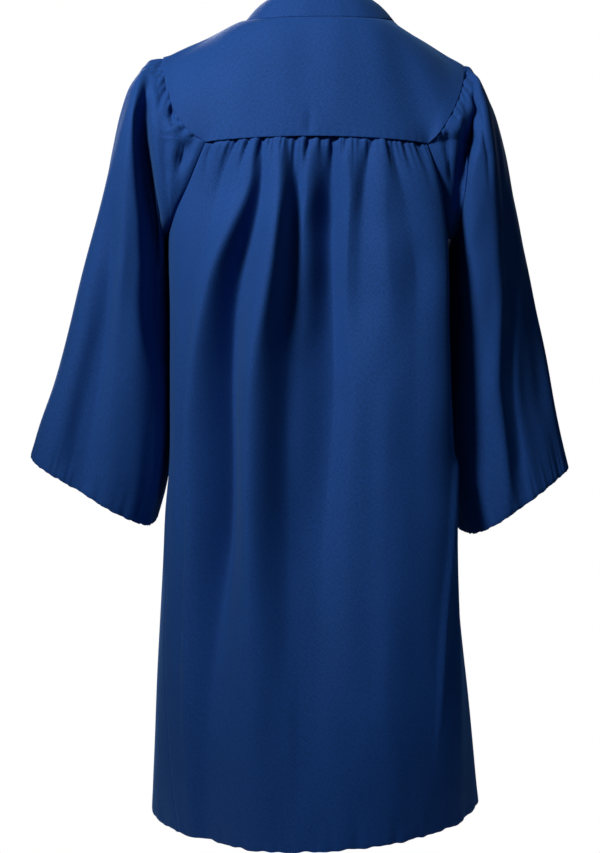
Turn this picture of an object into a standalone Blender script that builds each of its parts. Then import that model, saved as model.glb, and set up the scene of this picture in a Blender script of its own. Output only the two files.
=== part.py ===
"""Graduation gown, worn and empty: yoke, collar band, gathered back and fronts, two wide sleeves, front zip.

Metres, +Z up. The back faces +Y, the front faces -Y, the wearer's left is +X.
The origin is the centre of the neck opening at the height of the back neck seam.
"""
import math

import bmesh
import bpy
import numpy as np
from mathutils import Matrix, Vector

# Cloth
CLOTH_WALL = 0.0015
SEAM_GAP = 0.0003
YOKE_SEAM_GAP = 0.0005

# Body sections: plan rings at falling heights, each a rounded ring with its own squareness
BODY_COLUMNS = ("height", "centre_x", "half_width", "back_depth", "front_depth", "squareness")
BODY_SECTIONS = (
    (-0.140, 0.0000, 0.1950, 0.121, 0.0980, 3.00),
    (-0.190, 0.0020, 0.1990, 0.131, 0.1060, 3.00),
    (-0.300, 0.0060, 0.2035, 0.144, 0.1220, 3.00),
    (-0.420, 0.0060, 0.2035, 0.153, 0.1330, 2.90),
    (-0.560, 0.0060, 0.2035, 0.161, 0.1430, 2.80),
    (-0.650, 0.0060, 0.2050, 0.167, 0.1500, 2.70),
    (-0.720, 0.0055, 0.2115, 0.172, 0.1550, 2.60),
    (-0.780, 0.0050, 0.2150, 0.177, 0.1600, 2.50),
    (-0.870, 0.0045, 0.2210, 0.185, 0.1680, 2.40),
    (-1.015, 0.0000, 0.2325, 0.199, 0.1820, 2.20),
    (-1.120, -0.0030, 0.2400, 0.208, 0.1930, 1.93),
    (-1.180, -0.0050, 0.2435, 0.212, 0.1990, 1.74),
)

# Side seams: quarter turns from the centre back at which each side seam runs
SEAM_COLUMNS = ("height", "left_turn", "right_turn")
SIDE_SEAMS = (
    (-0.320, 1.00, 1.00),
    (-0.500, 0.97, 0.99),
    (-0.620, 0.88, 0.97),
    (-0.720, 0.77, 0.95),
    (-0.820, 0.74, 0.96),
    (-0.900, 0.73, 0.96),
    (-1.000, 0.69, 0.94),
    (-1.100, 0.66, 0.96),
    (-1.180, 0.64, 0.98),
)

# Armhole edge of the body below the yoke, from the yoke corner to the underarm
ARMHOLE_COLUMNS = ("left_turn", "left_height", "right_turn", "right_height")
ARMHOLE_EDGE = (
    (0.472, -0.187, 0.523, -0.189),
    (0.513, -0.215, 0.545, -0.214),
    (0.568, -0.250, 0.596, -0.246),
    (0.654, -0.282, 0.669, -0.285),
    (0.697, -0.294, 0.720, -0.300),
    (0.850, -0.314, 0.850, -0.316),
    (1.000, -0.3205, 1.000, -0.322),
)

# Yoke
YOKE_CENTRE_HEIGHT = -0.180
YOKE_SIDE_COLUMNS = ("along", "left_x", "left_z", "right_x", "right_z", "back_y", "front_y")
YOKE_SIDE = (
    (0.16, 0.1710, -0.174, -0.1760, -0.175, 0.1060, -0.0890),
    (0.33, 0.1890, -0.153, -0.1915, -0.152, 0.0960, -0.0800),
    (0.55, 0.2040, -0.119, -0.2070, -0.120, 0.0720, -0.0590),
    (0.78, 0.2140, -0.083, -0.2165, -0.091, 0.0380, -0.0310),
    (1.00, 0.2195, -0.0575, -0.2205, -0.069, 0.0000, 0.0000),
)
YOKE_CORNER_AT = 0.30
YOKE_SHOULDER_AT = 0.52
YOKE_FRONT_CORNER_AT = 0.74
RIGHT_SHOULDER_SLUMP = 0.008
NECK_CENTRE_X = -0.010
NECK_COLUMNS = ("around", "neck_x", "neck_y", "neck_z", "lead_out", "lead_back", "lead_down",
                "fall_out", "fall_back", "fall_down")
NECK_EDGE = (
    (0.00, 0.0000, 0.0780, -0.0080, 0.000, 0.026, 0.020, 0.000, 0.009, 0.062),
    (0.15, 0.0330, 0.0760, -0.0080, 0.012, 0.025, 0.019, 0.003, 0.010, 0.064),
    (0.30, 0.0680, 0.0640, -0.0080, 0.032, 0.022, 0.014, 0.006, 0.012, 0.068),
    (0.41, 0.0930, 0.0400, -0.0070, 0.040, 0.012, 0.011, 0.022, 0.016, 0.034),
    (0.52, 0.1080, 0.0040, -0.0060, 0.040, 0.000, 0.016, 0.036, 0.000, 0.017),
    (0.63, 0.1020, -0.0330, -0.0160, 0.034, -0.010, 0.010, 0.022, -0.014, 0.034),
    (0.74, 0.0850, -0.0600, -0.0450, 0.026, -0.014, 0.018, 0.005, -0.006, 0.050),
    (0.87, 0.0470, -0.0830, -0.1020, 0.006, -0.006, 0.022, 0.001, -0.003, 0.024),
    (1.00, 0.0035, -0.1000, -0.1600, 0.000, -0.001, 0.008, 0.000, -0.001, 0.008),
)

# Collar band: its free edge, matched to the neck edge
COLLAR_COLUMNS = ("around", "top_x", "top_y", "top_z")
COLLAR_EDGE = (
    (0.00, 0.0000, 0.0560, 0.0300),
    (0.15, 0.0260, 0.0540, 0.0300),
    (0.30, 0.0520, 0.0440, 0.0290),
    (0.41, 0.0670, 0.0260, 0.0270),
    (0.52, 0.0750, 0.0010, 0.0230),
    (0.63, 0.0730, -0.0300, 0.0060),
    (0.74, 0.0620, -0.0540, -0.0270),
    (0.87, 0.0330, -0.0790, -0.0850),
    (1.00, 0.0012, -0.0965, -0.1400),
)

# Back folds: x at the yoke, at mid height and near the hem, half widths and depths at the same heights
FOLD_HEIGHTS = (-0.200, -0.310, -0.450, -0.650, -0.900, -1.160)
FOLD_COLUMNS = ("x_yoke", "x_upper", "x_chest", "x_waist", "x_thigh", "x_hem",
                "half_width", "spread", "d_yoke", "d_upper", "d_chest", "d_waist", "d_thigh", "d_hem")
BACK_FOLDS = (
    (0.152, 0.160, 0.166, 0.170, 0.176, 0.180, 0.012, 1.6, 0.000, 0.002, 0.003, 0.003, 0.002, 0.001),
    (0.120, 0.118, 0.164, 0.172, 0.176, 0.178, 0.010, 1.5, -0.002, -0.002, 0.000, 0.000, 0.000, 0.000),
    (0.077, 0.097, 0.137, 0.150, 0.148, 0.146, 0.015, 1.6, -0.005, -0.009, -0.009, -0.007, -0.006, -0.005),
    (0.060, 0.083, 0.108, 0.108, 0.118, 0.130, 0.013, 1.3, 0.004, 0.006, 0.006, 0.005, 0.004, 0.003),
    (0.033, 0.041, 0.052, 0.061, 0.052, 0.046, 0.013, 1.9, -0.009, -0.022, -0.020, -0.012, -0.007, -0.006),
    (0.016, 0.019, 0.021, 0.021, 0.020, 0.018, 0.010, 1.6, 0.005, 0.008, 0.007, 0.004, 0.003, 0.002),
    (-0.014, -0.006, -0.005, -0.004, -0.004, -0.004, 0.010, 1.9, -0.006, -0.016, -0.012, -0.003, -0.002, -0.001),
    (-0.028, -0.030, -0.031, -0.034, -0.038, -0.040, 0.009, 1.6, 0.005, 0.009, 0.008, 0.003, 0.001, 0.001),
    (-0.100, -0.108, -0.114, -0.118, -0.120, -0.122, 0.012, 1.8, -0.002, -0.004, -0.004, -0.003, -0.001, -0.001),
    (-0.126, -0.150, -0.150, -0.150, -0.150, -0.150, 0.009, 1.5, -0.003, -0.004, -0.001, 0.000, 0.000, 0.000),
    (-0.186, -0.186, -0.186, -0.185, -0.178, -0.172, 0.016, 1.2, 0.000, 0.000, 0.001, 0.003, 0.005, 0.003),
)
FRONT_FOLDS = (
    (-0.155, -0.158, -0.162, -0.165, -0.170, -0.176, 0.012, 1.6, 0.002, 0.004, 0.004, 0.003, 0.003, 0.002),
    (-0.118, -0.124, -0.132, -0.136, -0.138, -0.140, 0.013, 1.7, -0.006, -0.012, -0.010, -0.007, -0.005, -0.004),
    (-0.086, -0.092, -0.098, -0.100, -0.104, -0.108, 0.012, 1.5, 0.004, 0.007, 0.006, 0.004, 0.003, 0.002),
    (-0.056, -0.060, -0.062, -0.064, -0.066, -0.070, 0.011, 1.7, -0.006, -0.011, -0.007, -0.003, -0.002, -0.002),
    (0.048, 0.052, 0.056, 0.060, 0.062, 0.064, 0.011, 1.7, -0.005, -0.010, -0.008, -0.004, -0.003, -0.002),
    (0.078, 0.084, 0.090, 0.094, 0.098, 0.102, 0.012, 1.5, 0.004, 0.007, 0.006, 0.005, 0.003, 0.003),
    (0.108, 0.116, 0.126, 0.134, 0.138, 0.140, 0.013, 1.7, -0.006, -0.013, -0.011, -0.007, -0.005, -0.004),
    (0.148, 0.152, 0.158, 0.164, 0.170, 0.176, 0.012, 1.5, 0.002, 0.004, 0.004, 0.003, 0.003, 0.002),
)

# Rows of the body panels, as shares of the way from the yoke seam to the hem
ROW_DOWNS = (0.000, 0.008, 0.018, 0.034, 0.056, 0.090, 0.135, 0.190, 0.250, 0.320, 0.400, 0.490, 0.580, 0.670,
             0.760, 0.850, 0.862, 0.930, 1.000)

# Small gathers under the yoke seam
GATHER_PITCH = 0.0098
GATHER_DEPTH = 0.0022
GATHER_SEAM_DEPTH = 0.0006
GATHER_LENGTH = 0.040

# Sleeves: a row for each section from the armhole to the cuff
SLEEVE_COLUMNS = ("along", "outer_x", "outer_z", "inner_x", "inner_z", "back_y", "front_y")
LEFT_SLEEVE = (
    (0.00, 0.2195, -0.0575, 0.2150, -0.3205, 0.100, -0.088),
    (0.05, 0.2394, -0.0660, 0.2160, -0.3340, 0.106, -0.094),
    (0.10, 0.2538, -0.0840, 0.2160, -0.3480, 0.109, -0.097),
    (0.15, 0.2656, -0.1015, 0.2155, -0.3620, 0.110, -0.098),
    (0.22, 0.2789, -0.1370, 0.2150, -0.3850, 0.110, -0.098),
    (0.32, 0.2922, -0.1900, 0.2150, -0.4180, 0.108, -0.097),
    (0.44, 0.3082, -0.2610, 0.2150, -0.4620, 0.106, -0.096),
    (0.55, 0.3262, -0.3320, 0.2150, -0.5050, 0.104, -0.095),
    (0.66, 0.3452, -0.4030, 0.2150, -0.5500, 0.102, -0.094),
    (0.80, 0.3732, -0.5064, 0.2165, -0.6222, 0.099, -0.092),
    (0.93, 0.4042, -0.5997, 0.2265, -0.6986, 0.096, -0.091),
    (1.00, 0.4152, -0.6400, 0.2385, -0.7425, 0.094, -0.090),
)
RIGHT_SLEEVE = (
    (0.00, -0.2205, -0.0690, -0.2035, -0.3220, 0.100, -0.088),
    (0.05, -0.2295, -0.0740, -0.2060, -0.3360, 0.105, -0.094),
    (0.10, -0.2384, -0.0850, -0.2070, -0.3500, 0.108, -0.097),
    (0.15, -0.2482, -0.1030, -0.2070, -0.3650, 0.109, -0.098),
    (0.22, -0.2636, -0.1370, -0.2070, -0.3880, 0.110, -0.098),
    (0.32, -0.2782, -0.1900, -0.2070, -0.4230, 0.108, -0.097),
    (0.44, -0.2932, -0.2610, -0.2070, -0.4680, 0.106, -0.096),
    (0.55, -0.3082, -0.3320, -0.2070, -0.5120, 0.104, -0.095),
    (0.66, -0.3228, -0.4030, -0.2070, -0.5580, 0.102, -0.094),
    (0.80, -0.3452, -0.5064, -0.2080, -0.6322, 0.099, -0.092),
    (0.93, -0.3672, -0.6077, -0.2130, -0.7116, 0.096, -0.091),
    (1.00, -0.3782, -0.6580, -0.2265, -0.7560, 0.094, -0.090),
)
SLEEVE_SQUARENESS = 2.6
SLEEVE_SEAM_STEP = 0.0011

# Sleeve troughs: x of each trough line at falling heights, its half width and its share of the sleeve depth
TROUGH_COLUMNS = ("height", "edge_x", "edge_step", "valley_x", "valley_width", "valley_share",
                  "outer_x", "outer_width", "outer_share")
LEFT_TROUGHS = (
    (-0.060, 0.2300, 0.00, 0.2290, 0.008, 0.00, 0.290, 0.015, 0.00),
    (-0.085, 0.2180, 0.03, 0.2320, 0.009, 0.12, 0.290, 0.015, 0.00),
    (-0.120, 0.2100, 0.08, 0.2410, 0.011, 0.30, 0.300, 0.015, 0.00),
    (-0.165, 0.2065, 0.12, 0.2480, 0.013, 0.40, 0.300, 0.015, 0.00),
    (-0.225, 0.2040, 0.13, 0.2450, 0.015, 0.44, 0.300, 0.015, 0.02),
    (-0.285, 0.2050, 0.16, 0.2360, 0.018, 0.50, 0.302, 0.018, 0.04),
    (-0.350, 0.2060, 0.20, 0.2270, 0.020, 0.52, 0.310, 0.020, 0.06),
    (-0.480, 0.2060, 0.20, 0.2220, 0.020, 0.50, 0.330, 0.022, 0.08),
    (-0.620, 0.2060, 0.16, 0.2260, 0.020, 0.36, 0.355, 0.022, 0.07),
    (-0.760, 0.2060, 0.08, 0.2400, 0.020, 0.16, 0.380, 0.022, 0.03),
)
RIGHT_TROUGHS = (
    (-0.065, 0.2300, 0.00, 0.2290, 0.008, 0.00, 0.258, 0.012, 0.00),
    (-0.090, 0.2200, 0.02, 0.2300, 0.008, 0.08, 0.262, 0.012, 0.02),
    (-0.120, 0.2120, 0.05, 0.2320, 0.009, 0.16, 0.270, 0.012, 0.04),
    (-0.165, 0.2060, 0.10, 0.2250, 0.010, 0.28, 0.280, 0.014, 0.07),
    (-0.225, 0.1990, 0.12, 0.2150, 0.012, 0.42, 0.290, 0.016, 0.12),
    (-0.285, 0.1980, 0.15, 0.2120, 0.013, 0.50, 0.296, 0.018, 0.16),
    (-0.350, 0.1980, 0.18, 0.2110, 0.013, 0.52, 0.298, 0.018, 0.17),
    (-0.480, 0.1980, 0.18, 0.2110, 0.013, 0.50, 0.302, 0.019, 0.17),
    (-0.620, 0.1980, 0.14, 0.2140, 0.015, 0.36, 0.312, 0.019, 0.14),
    (-0.760, 0.1980, 0.06, 0.2300, 0.015, 0.16, 0.325, 0.019, 0.08),
)
HEAD_PLEATS = 7
HEAD_PLEAT_DEPTH = 0.0034

# Hem
HEM_HEIGHT = -1.1645
HEM_TILT = 0.007

# Front zip
ZIP_TOP = -0.1630
ZIP_ROWS = 16
ZIP_HALF_GAP = 0.0035
CHAIN_WIDTH = 0.0056
CHAIN_PROUD = 0.0003
TAPE_WIDTH = 0.0110
TAPE_WALL = 0.0010
SLIDER_HEIGHT = -0.1790
SLIDER_WIDTH = 0.0090
SLIDER_LENGTH = 0.0120
SLIDER_PLATE = 0.0018
BAIL_WIDTH = 0.0020
BAIL_LENGTH = 0.0056
BAIL_RISE = 0.0048
BAIL_HOLE = 0.0015
PULL_WIDTH = 0.0080
PULL_LENGTH = 0.0270
PULL_WALL = 0.0014
PULL_BAR = 0.0015
PULL_WINDOW_WIDTH = 0.0030
PULL_WINDOW_LENGTH = 0.0056


def smooth_step(value):
    """0 below 0, 1 above 1, eased between."""
    held = np.clip(value, 0.0, 1.0)
    return held * held * (3.0 - 2.0 * held)


def curve_through(keys, values, at):
    """Smooth curve through the rows of a table: cubic pieces with slopes from the neighbouring rows."""
    keys = np.asarray(keys, float)
    values = np.asarray(values, float)
    if keys[0] > keys[-1]:
        keys = keys[::-1]
        values = values[::-1]
    slopes = np.gradient(values, keys)
    at = np.clip(np.asarray(at, float), keys[0], keys[-1])
    place = np.clip(np.searchsorted(keys, at, side="right") - 1, 0, len(keys) - 2)
    span = keys[place + 1] - keys[place]
    part = (at - keys[place]) / span
    square = part * part
    cube = square * part
    return ((2 * cube - 3 * square + 1) * values[place] + (cube - 2 * square + part) * span * slopes[place]
            + (3 * square - 2 * cube) * values[place + 1] + (cube - square) * span * slopes[place + 1])


def column(rows, names, name):
    return np.array([row[names.index(name)] for row in rows])


def section(height, name):
    keys = column(BODY_SECTIONS, BODY_COLUMNS, "height")
    return curve_through(keys, column(BODY_SECTIONS, BODY_COLUMNS, name), height)


def side_seam(height, side):
    name = "left_turn" if side > 0 else "right_turn"
    keys = column(SIDE_SEAMS, SEAM_COLUMNS, "height")
    turns = curve_through(keys, column(SIDE_SEAMS, SEAM_COLUMNS, name), height)
    return np.where(np.asarray(height) > keys[0], 1.0, turns)


def armhole_height(turn, side):
    """Height of the body's armhole edge, and of the yoke seam inside its corner."""
    tag = "left" if side > 0 else "right"
    turns = column(ARMHOLE_EDGE, ARMHOLE_COLUMNS, tag + "_turn")
    heights = column(ARMHOLE_EDGE, ARMHOLE_COLUMNS, tag + "_height")
    seam = YOKE_CENTRE_HEIGHT + (heights[0] - YOKE_CENTRE_HEIGHT) * (turn / turns[0]) ** 2
    return np.where(turn <= turns[0], seam, curve_through(turns, heights, turn))


def corner_turn(side):
    return ARMHOLE_EDGE[0][0] if side > 0 else ARMHOLE_EDGE[0][2]


def ring(turn, height):
    """Point of the body without folds. Turn is in quarter turns: 0 centre back, 1 left side, 2 centre front."""
    turn, height = np.broadcast_arrays(np.asarray(turn, float), np.asarray(height, float))
    angle = turn * math.pi / 2
    sine = np.sin(angle)
    cosine = np.cos(angle)
    power = section(height, "squareness")
    reach = (np.abs(sine) ** power + np.abs(cosine) ** power) ** (-1.0 / power)
    depth = np.where(cosine > 0, section(height, "back_depth"), section(height, "front_depth"))
    x = section(height, "centre_x") + section(height, "half_width") * reach * sine
    return np.stack([x, depth * reach * cosine, height], axis=-1)


def outward(turn, height):
    ahead = ring(turn + 0.004, height) - ring(turn - 0.004, height)
    normal = np.stack([-ahead[..., 1], ahead[..., 0], np.zeros_like(ahead[..., 0])], axis=-1)
    return normal / np.linalg.norm(normal, axis=-1, keepdims=True)


def fold_depth(rows, x, height):
    """Sum of the main folds: each a soft bump or trough whose line, width and depth change down the cloth."""
    total = np.zeros_like(x)
    keys = np.array(FOLD_HEIGHTS)
    fall = np.clip((keys[0] - height) / (keys[0] - keys[-1]), 0.0, 1.0)
    for row in rows:
        line = curve_through(keys, row[0:6], height)
        depth = curve_through(keys, row[8:14], height)
        width = row[6] * (1.0 + (row[7] - 1.0) * np.sqrt(fall))
        total = total + depth * np.exp(-(((x - line) / width) ** 2))
    return total


def gather_depth(x, below):
    """Small gathers: a wave of drifting pitch that grows under the seam and dies out at uneven lengths."""
    phase = x / GATHER_PITCH + 0.35 * np.sin(x * 43.0) + 0.22 * np.sin(x * 97.0 + 1.1)
    length = GATHER_LENGTH * (0.75 + 0.35 * np.sin(x * 61.0 + 0.4) + 0.25 * np.sin(x * 151.0))
    start = smooth_step(below / 0.008)
    grown = GATHER_SEAM_DEPTH + (GATHER_DEPTH - GATHER_SEAM_DEPTH) * start
    return grown * np.cos(2 * math.pi * phase) * np.exp(-((below / length) ** 2))


def body_surface(turn, height, below, front):
    """Body point with its folds. Below is the distance under the top edge of the cloth."""
    base = ring(turn, height)
    x = base[..., 0]
    side = np.where(np.sin(turn * math.pi / 2) >= 0, 1.0, -1.0)
    seam_turn = np.where(side > 0, side_seam(height, 1), side_seam(height, -1))
    span = np.abs(np.abs(turn) - seam_turn)
    calm = smooth_step(span / 0.14)
    settled = smooth_step(below / 0.05)
    rows = FRONT_FOLDS if front else BACK_FOLDS
    depth = fold_depth(rows, x, height) * calm * (0.25 + 0.75 * settled)
    gathers = gather_depth(x, below)
    inside = np.abs(turn) if not front else 2.0 - np.abs(turn)
    corner = np.where(side > 0, corner_turn(1), corner_turn(-1))
    gathers = gathers * smooth_step((corner + 0.02 - inside) / 0.06)
    if front:
        flat = smooth_step((np.abs(x) - 0.017) / 0.018)
        depth = depth * flat
        gathers = gathers * flat
    return base + outward(turn, height) * (depth + gathers)[..., None]


def hem_height(turn):
    return HEM_HEIGHT - HEM_TILT * np.sin(turn * math.pi / 2)


def lace(upper, lower):
    """Faces between two rows of vertices, each row a list of (place, vertex)."""
    faces = []
    i = 0
    j = 0
    while i < len(upper) - 1 or j < len(lower) - 1:
        step_up = upper[i + 1][0] if i < len(upper) - 1 else 9.0
        step_low = lower[j + 1][0] if j < len(lower) - 1 else 9.0
        if abs(step_up - step_low) < 1e-6:
            faces.append((upper[i][1], lower[j][1], lower[j + 1][1], upper[i + 1][1]))
            i += 1
            j += 1
        elif step_up < step_low:
            faces.append((upper[i][1], lower[j][1], upper[i + 1][1]))
            i += 1
        else:
            faces.append((upper[i][1], lower[j][1], lower[j + 1][1]))
            j += 1
    return faces


def surface_mesh(rows, closed=False):
    """Vertices and faces of stacked rows; a row is (places, points). A closed row ends where it starts."""
    points = []
    faces = []
    previous = None
    for places, row in rows:
        first = len(points)
        count = len(places) - 1 if closed else len(places)
        points.extend(tuple(point) for point in row[:count])
        marks = [(float(place), first + index % count) for index, place in enumerate(places)]
        if previous is not None:
            faces.extend(lace(previous, marks))
        previous = marks
    return points, faces


def new_material(name, colour, roughness, metallic=0.0):
    material = bpy.data.materials.new(name)
    material.use_nodes = True
    shader = material.node_tree.nodes["Principled BSDF"]
    shader.inputs["Base Color"].default_value = (*colour, 1.0)
    shader.inputs["Roughness"].default_value = roughness
    shader.inputs["Metallic"].default_value = metallic
    material.diffuse_color = (*colour, 1.0)
    return material


def add_object(name, points, faces, material, smooth=True):
    mesh = bpy.data.meshes.new(name)
    mesh.from_pydata(points, [], faces)
    mesh.validate()
    if smooth:
        mesh.shade_smooth()
    mesh.materials.append(material)
    made = bpy.data.objects.new(name, mesh)
    gown.objects.link(made)
    return made


def add_wall(name, rows, material, thickness=CLOTH_WALL, closed=False):
    """Cloth piece: its outer surface, thickened inwards."""
    points, faces = surface_mesh(rows, closed)
    made = add_object(name, points, faces, material)
    shell = made.modifiers.new("wall", "SOLIDIFY")
    shell.thickness = thickness
    shell.offset = -1.0
    shell.use_even_offset = False
    shell.use_quality_normals = True
    return made


def build_back(material):
    """Back panel: columns from the right side seam to the left one, rows from the yoke seam to the hem."""
    plan = tuple(zip(ROW_DOWNS, (112, 112, 112, 112, 56, 56, 56, 56, 56, 56, 28, 28, 28, 28, 28, 28, 28, 28, 28)))
    rows = []
    for down, count in plan:
        places = np.linspace(0.0, 1.0, count + 1)
        nominal = (2.0 * places - 1.0)
        side = np.where(nominal >= 0, 1.0, -1.0)
        top = np.where(nominal >= 0, armhole_height(np.abs(nominal), 1), armhole_height(np.abs(nominal), -1))
        top = top - YOKE_SEAM_GAP
        height = top + down * (hem_height(nominal) - top)
        gap = SEAM_GAP / 0.54
        left = side_seam(height, 1) - gap
        right = side_seam(height, -1) - gap
        turn = np.abs(nominal) * np.where(side > 0, left, right) * side
        rows.append((places, body_surface(turn, height, top - height, False)))
    return add_wall("back", flip(rows), material)


def flip(rows):
    """Turn each row end for end so that the faces look outwards."""
    return [(1.0 - places[::-1], row[::-1]) for places, row in rows]


def zip_edge(height):
    """Distance of each front's centre edge from the middle: wide beside the zip, closed below it."""
    top = YOKE_CENTRE_HEIGHT - YOKE_SEAM_GAP
    bottom = top + ROW_DOWNS[ZIP_ROWS - 1] * (HEM_HEIGHT - top)
    return SEAM_GAP / 2 + (ZIP_HALF_GAP - SEAM_GAP / 2) * smooth_step((height - bottom + 0.0115) / 0.01)


def build_front(name, side, material):
    """Front panel: columns from the side seam to the zip edge, rows from the yoke seam to the hem."""
    plan = tuple(zip(ROW_DOWNS, (36, 36, 36, 36, 18, 18, 18, 18, 18, 18, 18, 18, 18, 18, 18, 18, 18, 18, 18)))
    rows = []
    for down, count in plan:
        places = np.linspace(0.0, 1.0, count + 1)
        nominal = 1.0 + places
        top = armhole_height(2.0 - nominal, side) - YOKE_SEAM_GAP
        height = top + down * (hem_height(side * nominal) - top)
        start = side_seam(height, side) + SEAM_GAP / 0.54
        edge = zip_edge(height) - side * section(height, "centre_x")
        end = 2.0 - 2.0 / math.pi * np.arctan2(edge / section(height, "half_width"), 1.0)
        turn = start + places * (end - start)
        rows.append((places, body_surface(side * turn, height, top - height, True)))
    return add_wall(name, rows if side < 0 else flip(rows), material)


def yoke_outer(around, side):
    """Outer edge of the yoke: back seam, side along the sleeve head, front side, front seam."""
    around = np.asarray(around, float)
    tag = "left" if side > 0 else "right"
    corner = corner_turn(side)
    points = np.zeros(around.shape + (3,))
    in_back = around <= YOKE_CORNER_AT
    turn = corner * around / YOKE_CORNER_AT
    points[in_back] = ring(side * turn, armhole_height(turn, side))[in_back]
    in_front = around >= YOKE_FRONT_CORNER_AT
    part = (1.0 - around) / (1.0 - YOKE_FRONT_CORNER_AT)
    height = armhole_height(corner * part, side)
    edge = ZIP_HALF_GAP - side * section(height, "centre_x")
    end = 2.0 / math.pi * np.arctan2(edge / section(height, "half_width"), 1.0)
    points[in_front] = ring(side * (2.0 - end - (corner - end) * part), height)[in_front]
    for back in (True, False):
        low = YOKE_CORNER_AT if back else YOKE_FRONT_CORNER_AT
        along = (around - low) / (YOKE_SHOULDER_AT - low)
        where = (along >= 0) & (along <= 1) & ~in_back & ~in_front
        first = ring(side * (corner if back else 2.0 - corner), armhole_height(np.array(corner), side))
        keys = np.concatenate([[0.0], column(YOKE_SIDE, YOKE_SIDE_COLUMNS, "along")])
        names = (tag + "_x", "back_y" if back else "front_y", tag + "_z")
        for axis in range(3):
            values = np.concatenate([[first[axis]], column(YOKE_SIDE, YOKE_SIDE_COLUMNS, names[axis])])
            points[where, axis] = curve_through(keys, values, along)[where]
    return points


def yoke_rows(around, side, downs):
    """Points of one half of the yoke: curves from the neck edge to the outer edge."""
    keys = column(NECK_EDGE, NECK_COLUMNS, "around")
    values = {name: curve_through(keys, column(NECK_EDGE, NECK_COLUMNS, name), around) for name in NECK_COLUMNS}
    neck = np.stack([neck_x(values["neck_x"], around, side), values["neck_y"], values["neck_z"]], axis=-1)
    lead = np.stack([side * values["lead_out"], values["lead_back"], -values["lead_down"]], axis=-1)
    fall = np.stack([side * values["fall_out"], values["fall_back"], -values["fall_down"]], axis=-1)
    if side < 0:
        lead[:, 2] -= RIGHT_SHOULDER_SLUMP * np.exp(-(((around - YOKE_SHOULDER_AT) / 0.16) ** 2))
    outer = yoke_outer(around, side)
    rows = []
    for down in downs:
        rest = 1.0 - down
        row = (neck * rest ** 3 + 3 * (neck + lead) * rest * rest * down
               + 3 * (outer - fall) * rest * down * down + outer * down ** 3)
        rows.append(settle_front(row, around))
    return rows


def settle_front(points, around):
    """Bring the yoke's front tips onto the flat of the front cloth, where the zip starts."""
    settled = points.copy()
    share = smooth_step((around - 0.88) / 0.06)
    settled[:, 1] += (-section(points[:, 2], "front_depth") - points[:, 1]) * share
    return settled


def neck_x(reach, around, side):
    """Neck edge x: the neck sits a little to the right of the shoulders and returns to the middle at the zip."""
    return side * reach + NECK_CENTRE_X * (1.0 - smooth_step((around - 0.6) / 0.38))


def build_yoke(material):
    downs = (0.0, 0.15, 0.32, 0.50, 0.68, 0.86, 1.0)
    around = np.concatenate([np.linspace(0, YOKE_CORNER_AT, 10), np.linspace(YOKE_CORNER_AT, YOKE_SHOULDER_AT, 11)[1:],
                             np.linspace(YOKE_SHOULDER_AT, YOKE_FRONT_CORNER_AT, 9)[1:],
                             np.linspace(YOKE_FRONT_CORNER_AT, 1.0, 11)[1:]])
    left = yoke_rows(around, 1, downs)
    right = yoke_rows(around, -1, downs)
    rows = []
    for index in range(len(downs)):
        points = np.concatenate([right[index][::-1], left[index][1:]])
        places = np.linspace(0.0, 1.0, len(points))
        rows.append((places, points))
    return add_wall("yoke", flip(rows), material)


def build_collar(material):
    """Collar band: from just inside the neck edge up to its free edge, a little bowed."""
    around = np.concatenate([np.linspace(0, 0.3, 8), np.linspace(0.3, 0.74, 10)[1:], np.linspace(0.74, 1.0, 6)[1:]])
    halves = {}
    for side in (1, -1):
        keys = column(NECK_EDGE, NECK_COLUMNS, "around")
        low = np.stack([neck_x(curve_through(keys, column(NECK_EDGE, NECK_COLUMNS, "neck_x"), around), around, side),
                        curve_through(keys, column(NECK_EDGE, NECK_COLUMNS, "neck_y"), around),
                        curve_through(keys, column(NECK_EDGE, NECK_COLUMNS, "neck_z"), around)], axis=-1)
        keys = column(COLLAR_EDGE, COLLAR_COLUMNS, "around")
        high = np.stack([neck_x(curve_through(keys, column(COLLAR_EDGE, COLLAR_COLUMNS, "top_x"), around),
                                around, side),
                         curve_through(keys, column(COLLAR_EDGE, COLLAR_COLUMNS, "top_y"), around),
                         curve_through(keys, column(COLLAR_EDGE, COLLAR_COLUMNS, "top_z"), around)], axis=-1)
        low = settle_front(low, around)
        rise = high - low
        length = np.linalg.norm(rise, axis=-1, keepdims=True)
        low = low + rise / length * SEAM_GAP * 2
        halves[side] = (low, high)
    rows = []
    for up in (1.0, 0.66, 0.33, 0.0):
        points = []
        for side in (-1, 1):
            low, high = halves[side]
            row = low + (high - low) * up
            row[:, 2] += 0.004 * math.sin(math.pi * up) * (1.0 - smooth_step((around - 0.5) / 0.4))
            points.append(row[::-1] if side < 0 else row[1:])
        points = np.concatenate(points)
        rows.append((np.linspace(0.0, 1.0, len(points)), points))
    return add_wall("collar", flip(rows), material)


def armhole_ring(around, side):
    """Edge to which the sleeve is sewn. Around runs from the shoulder over the back to the underarm and up."""
    around = np.mod(np.asarray(around, float), 1.0)
    corner = corner_turn(side)
    points = np.zeros(around.shape + (3,))
    for back in (True, False):
        part = around if back else 1.0 - around
        here = (around < 0.5) if back else (around >= 0.5)
        yoke = here & (part <= 0.2)
        low = YOKE_CORNER_AT if back else YOKE_FRONT_CORNER_AT
        along = YOKE_SHOULDER_AT + (low - YOKE_SHOULDER_AT) * np.clip(part / 0.2, 0, 1)
        points[yoke] = yoke_outer(along, side)[yoke]
        body = here & (part > 0.2)
        turn = corner + (1.0 - corner) * np.clip((part - 0.2) / 0.3, 0, 1)
        height = armhole_height(turn, side)
        points[body] = ring(side * (turn if back else 2.0 - turn), height)[body]
    return points


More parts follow.
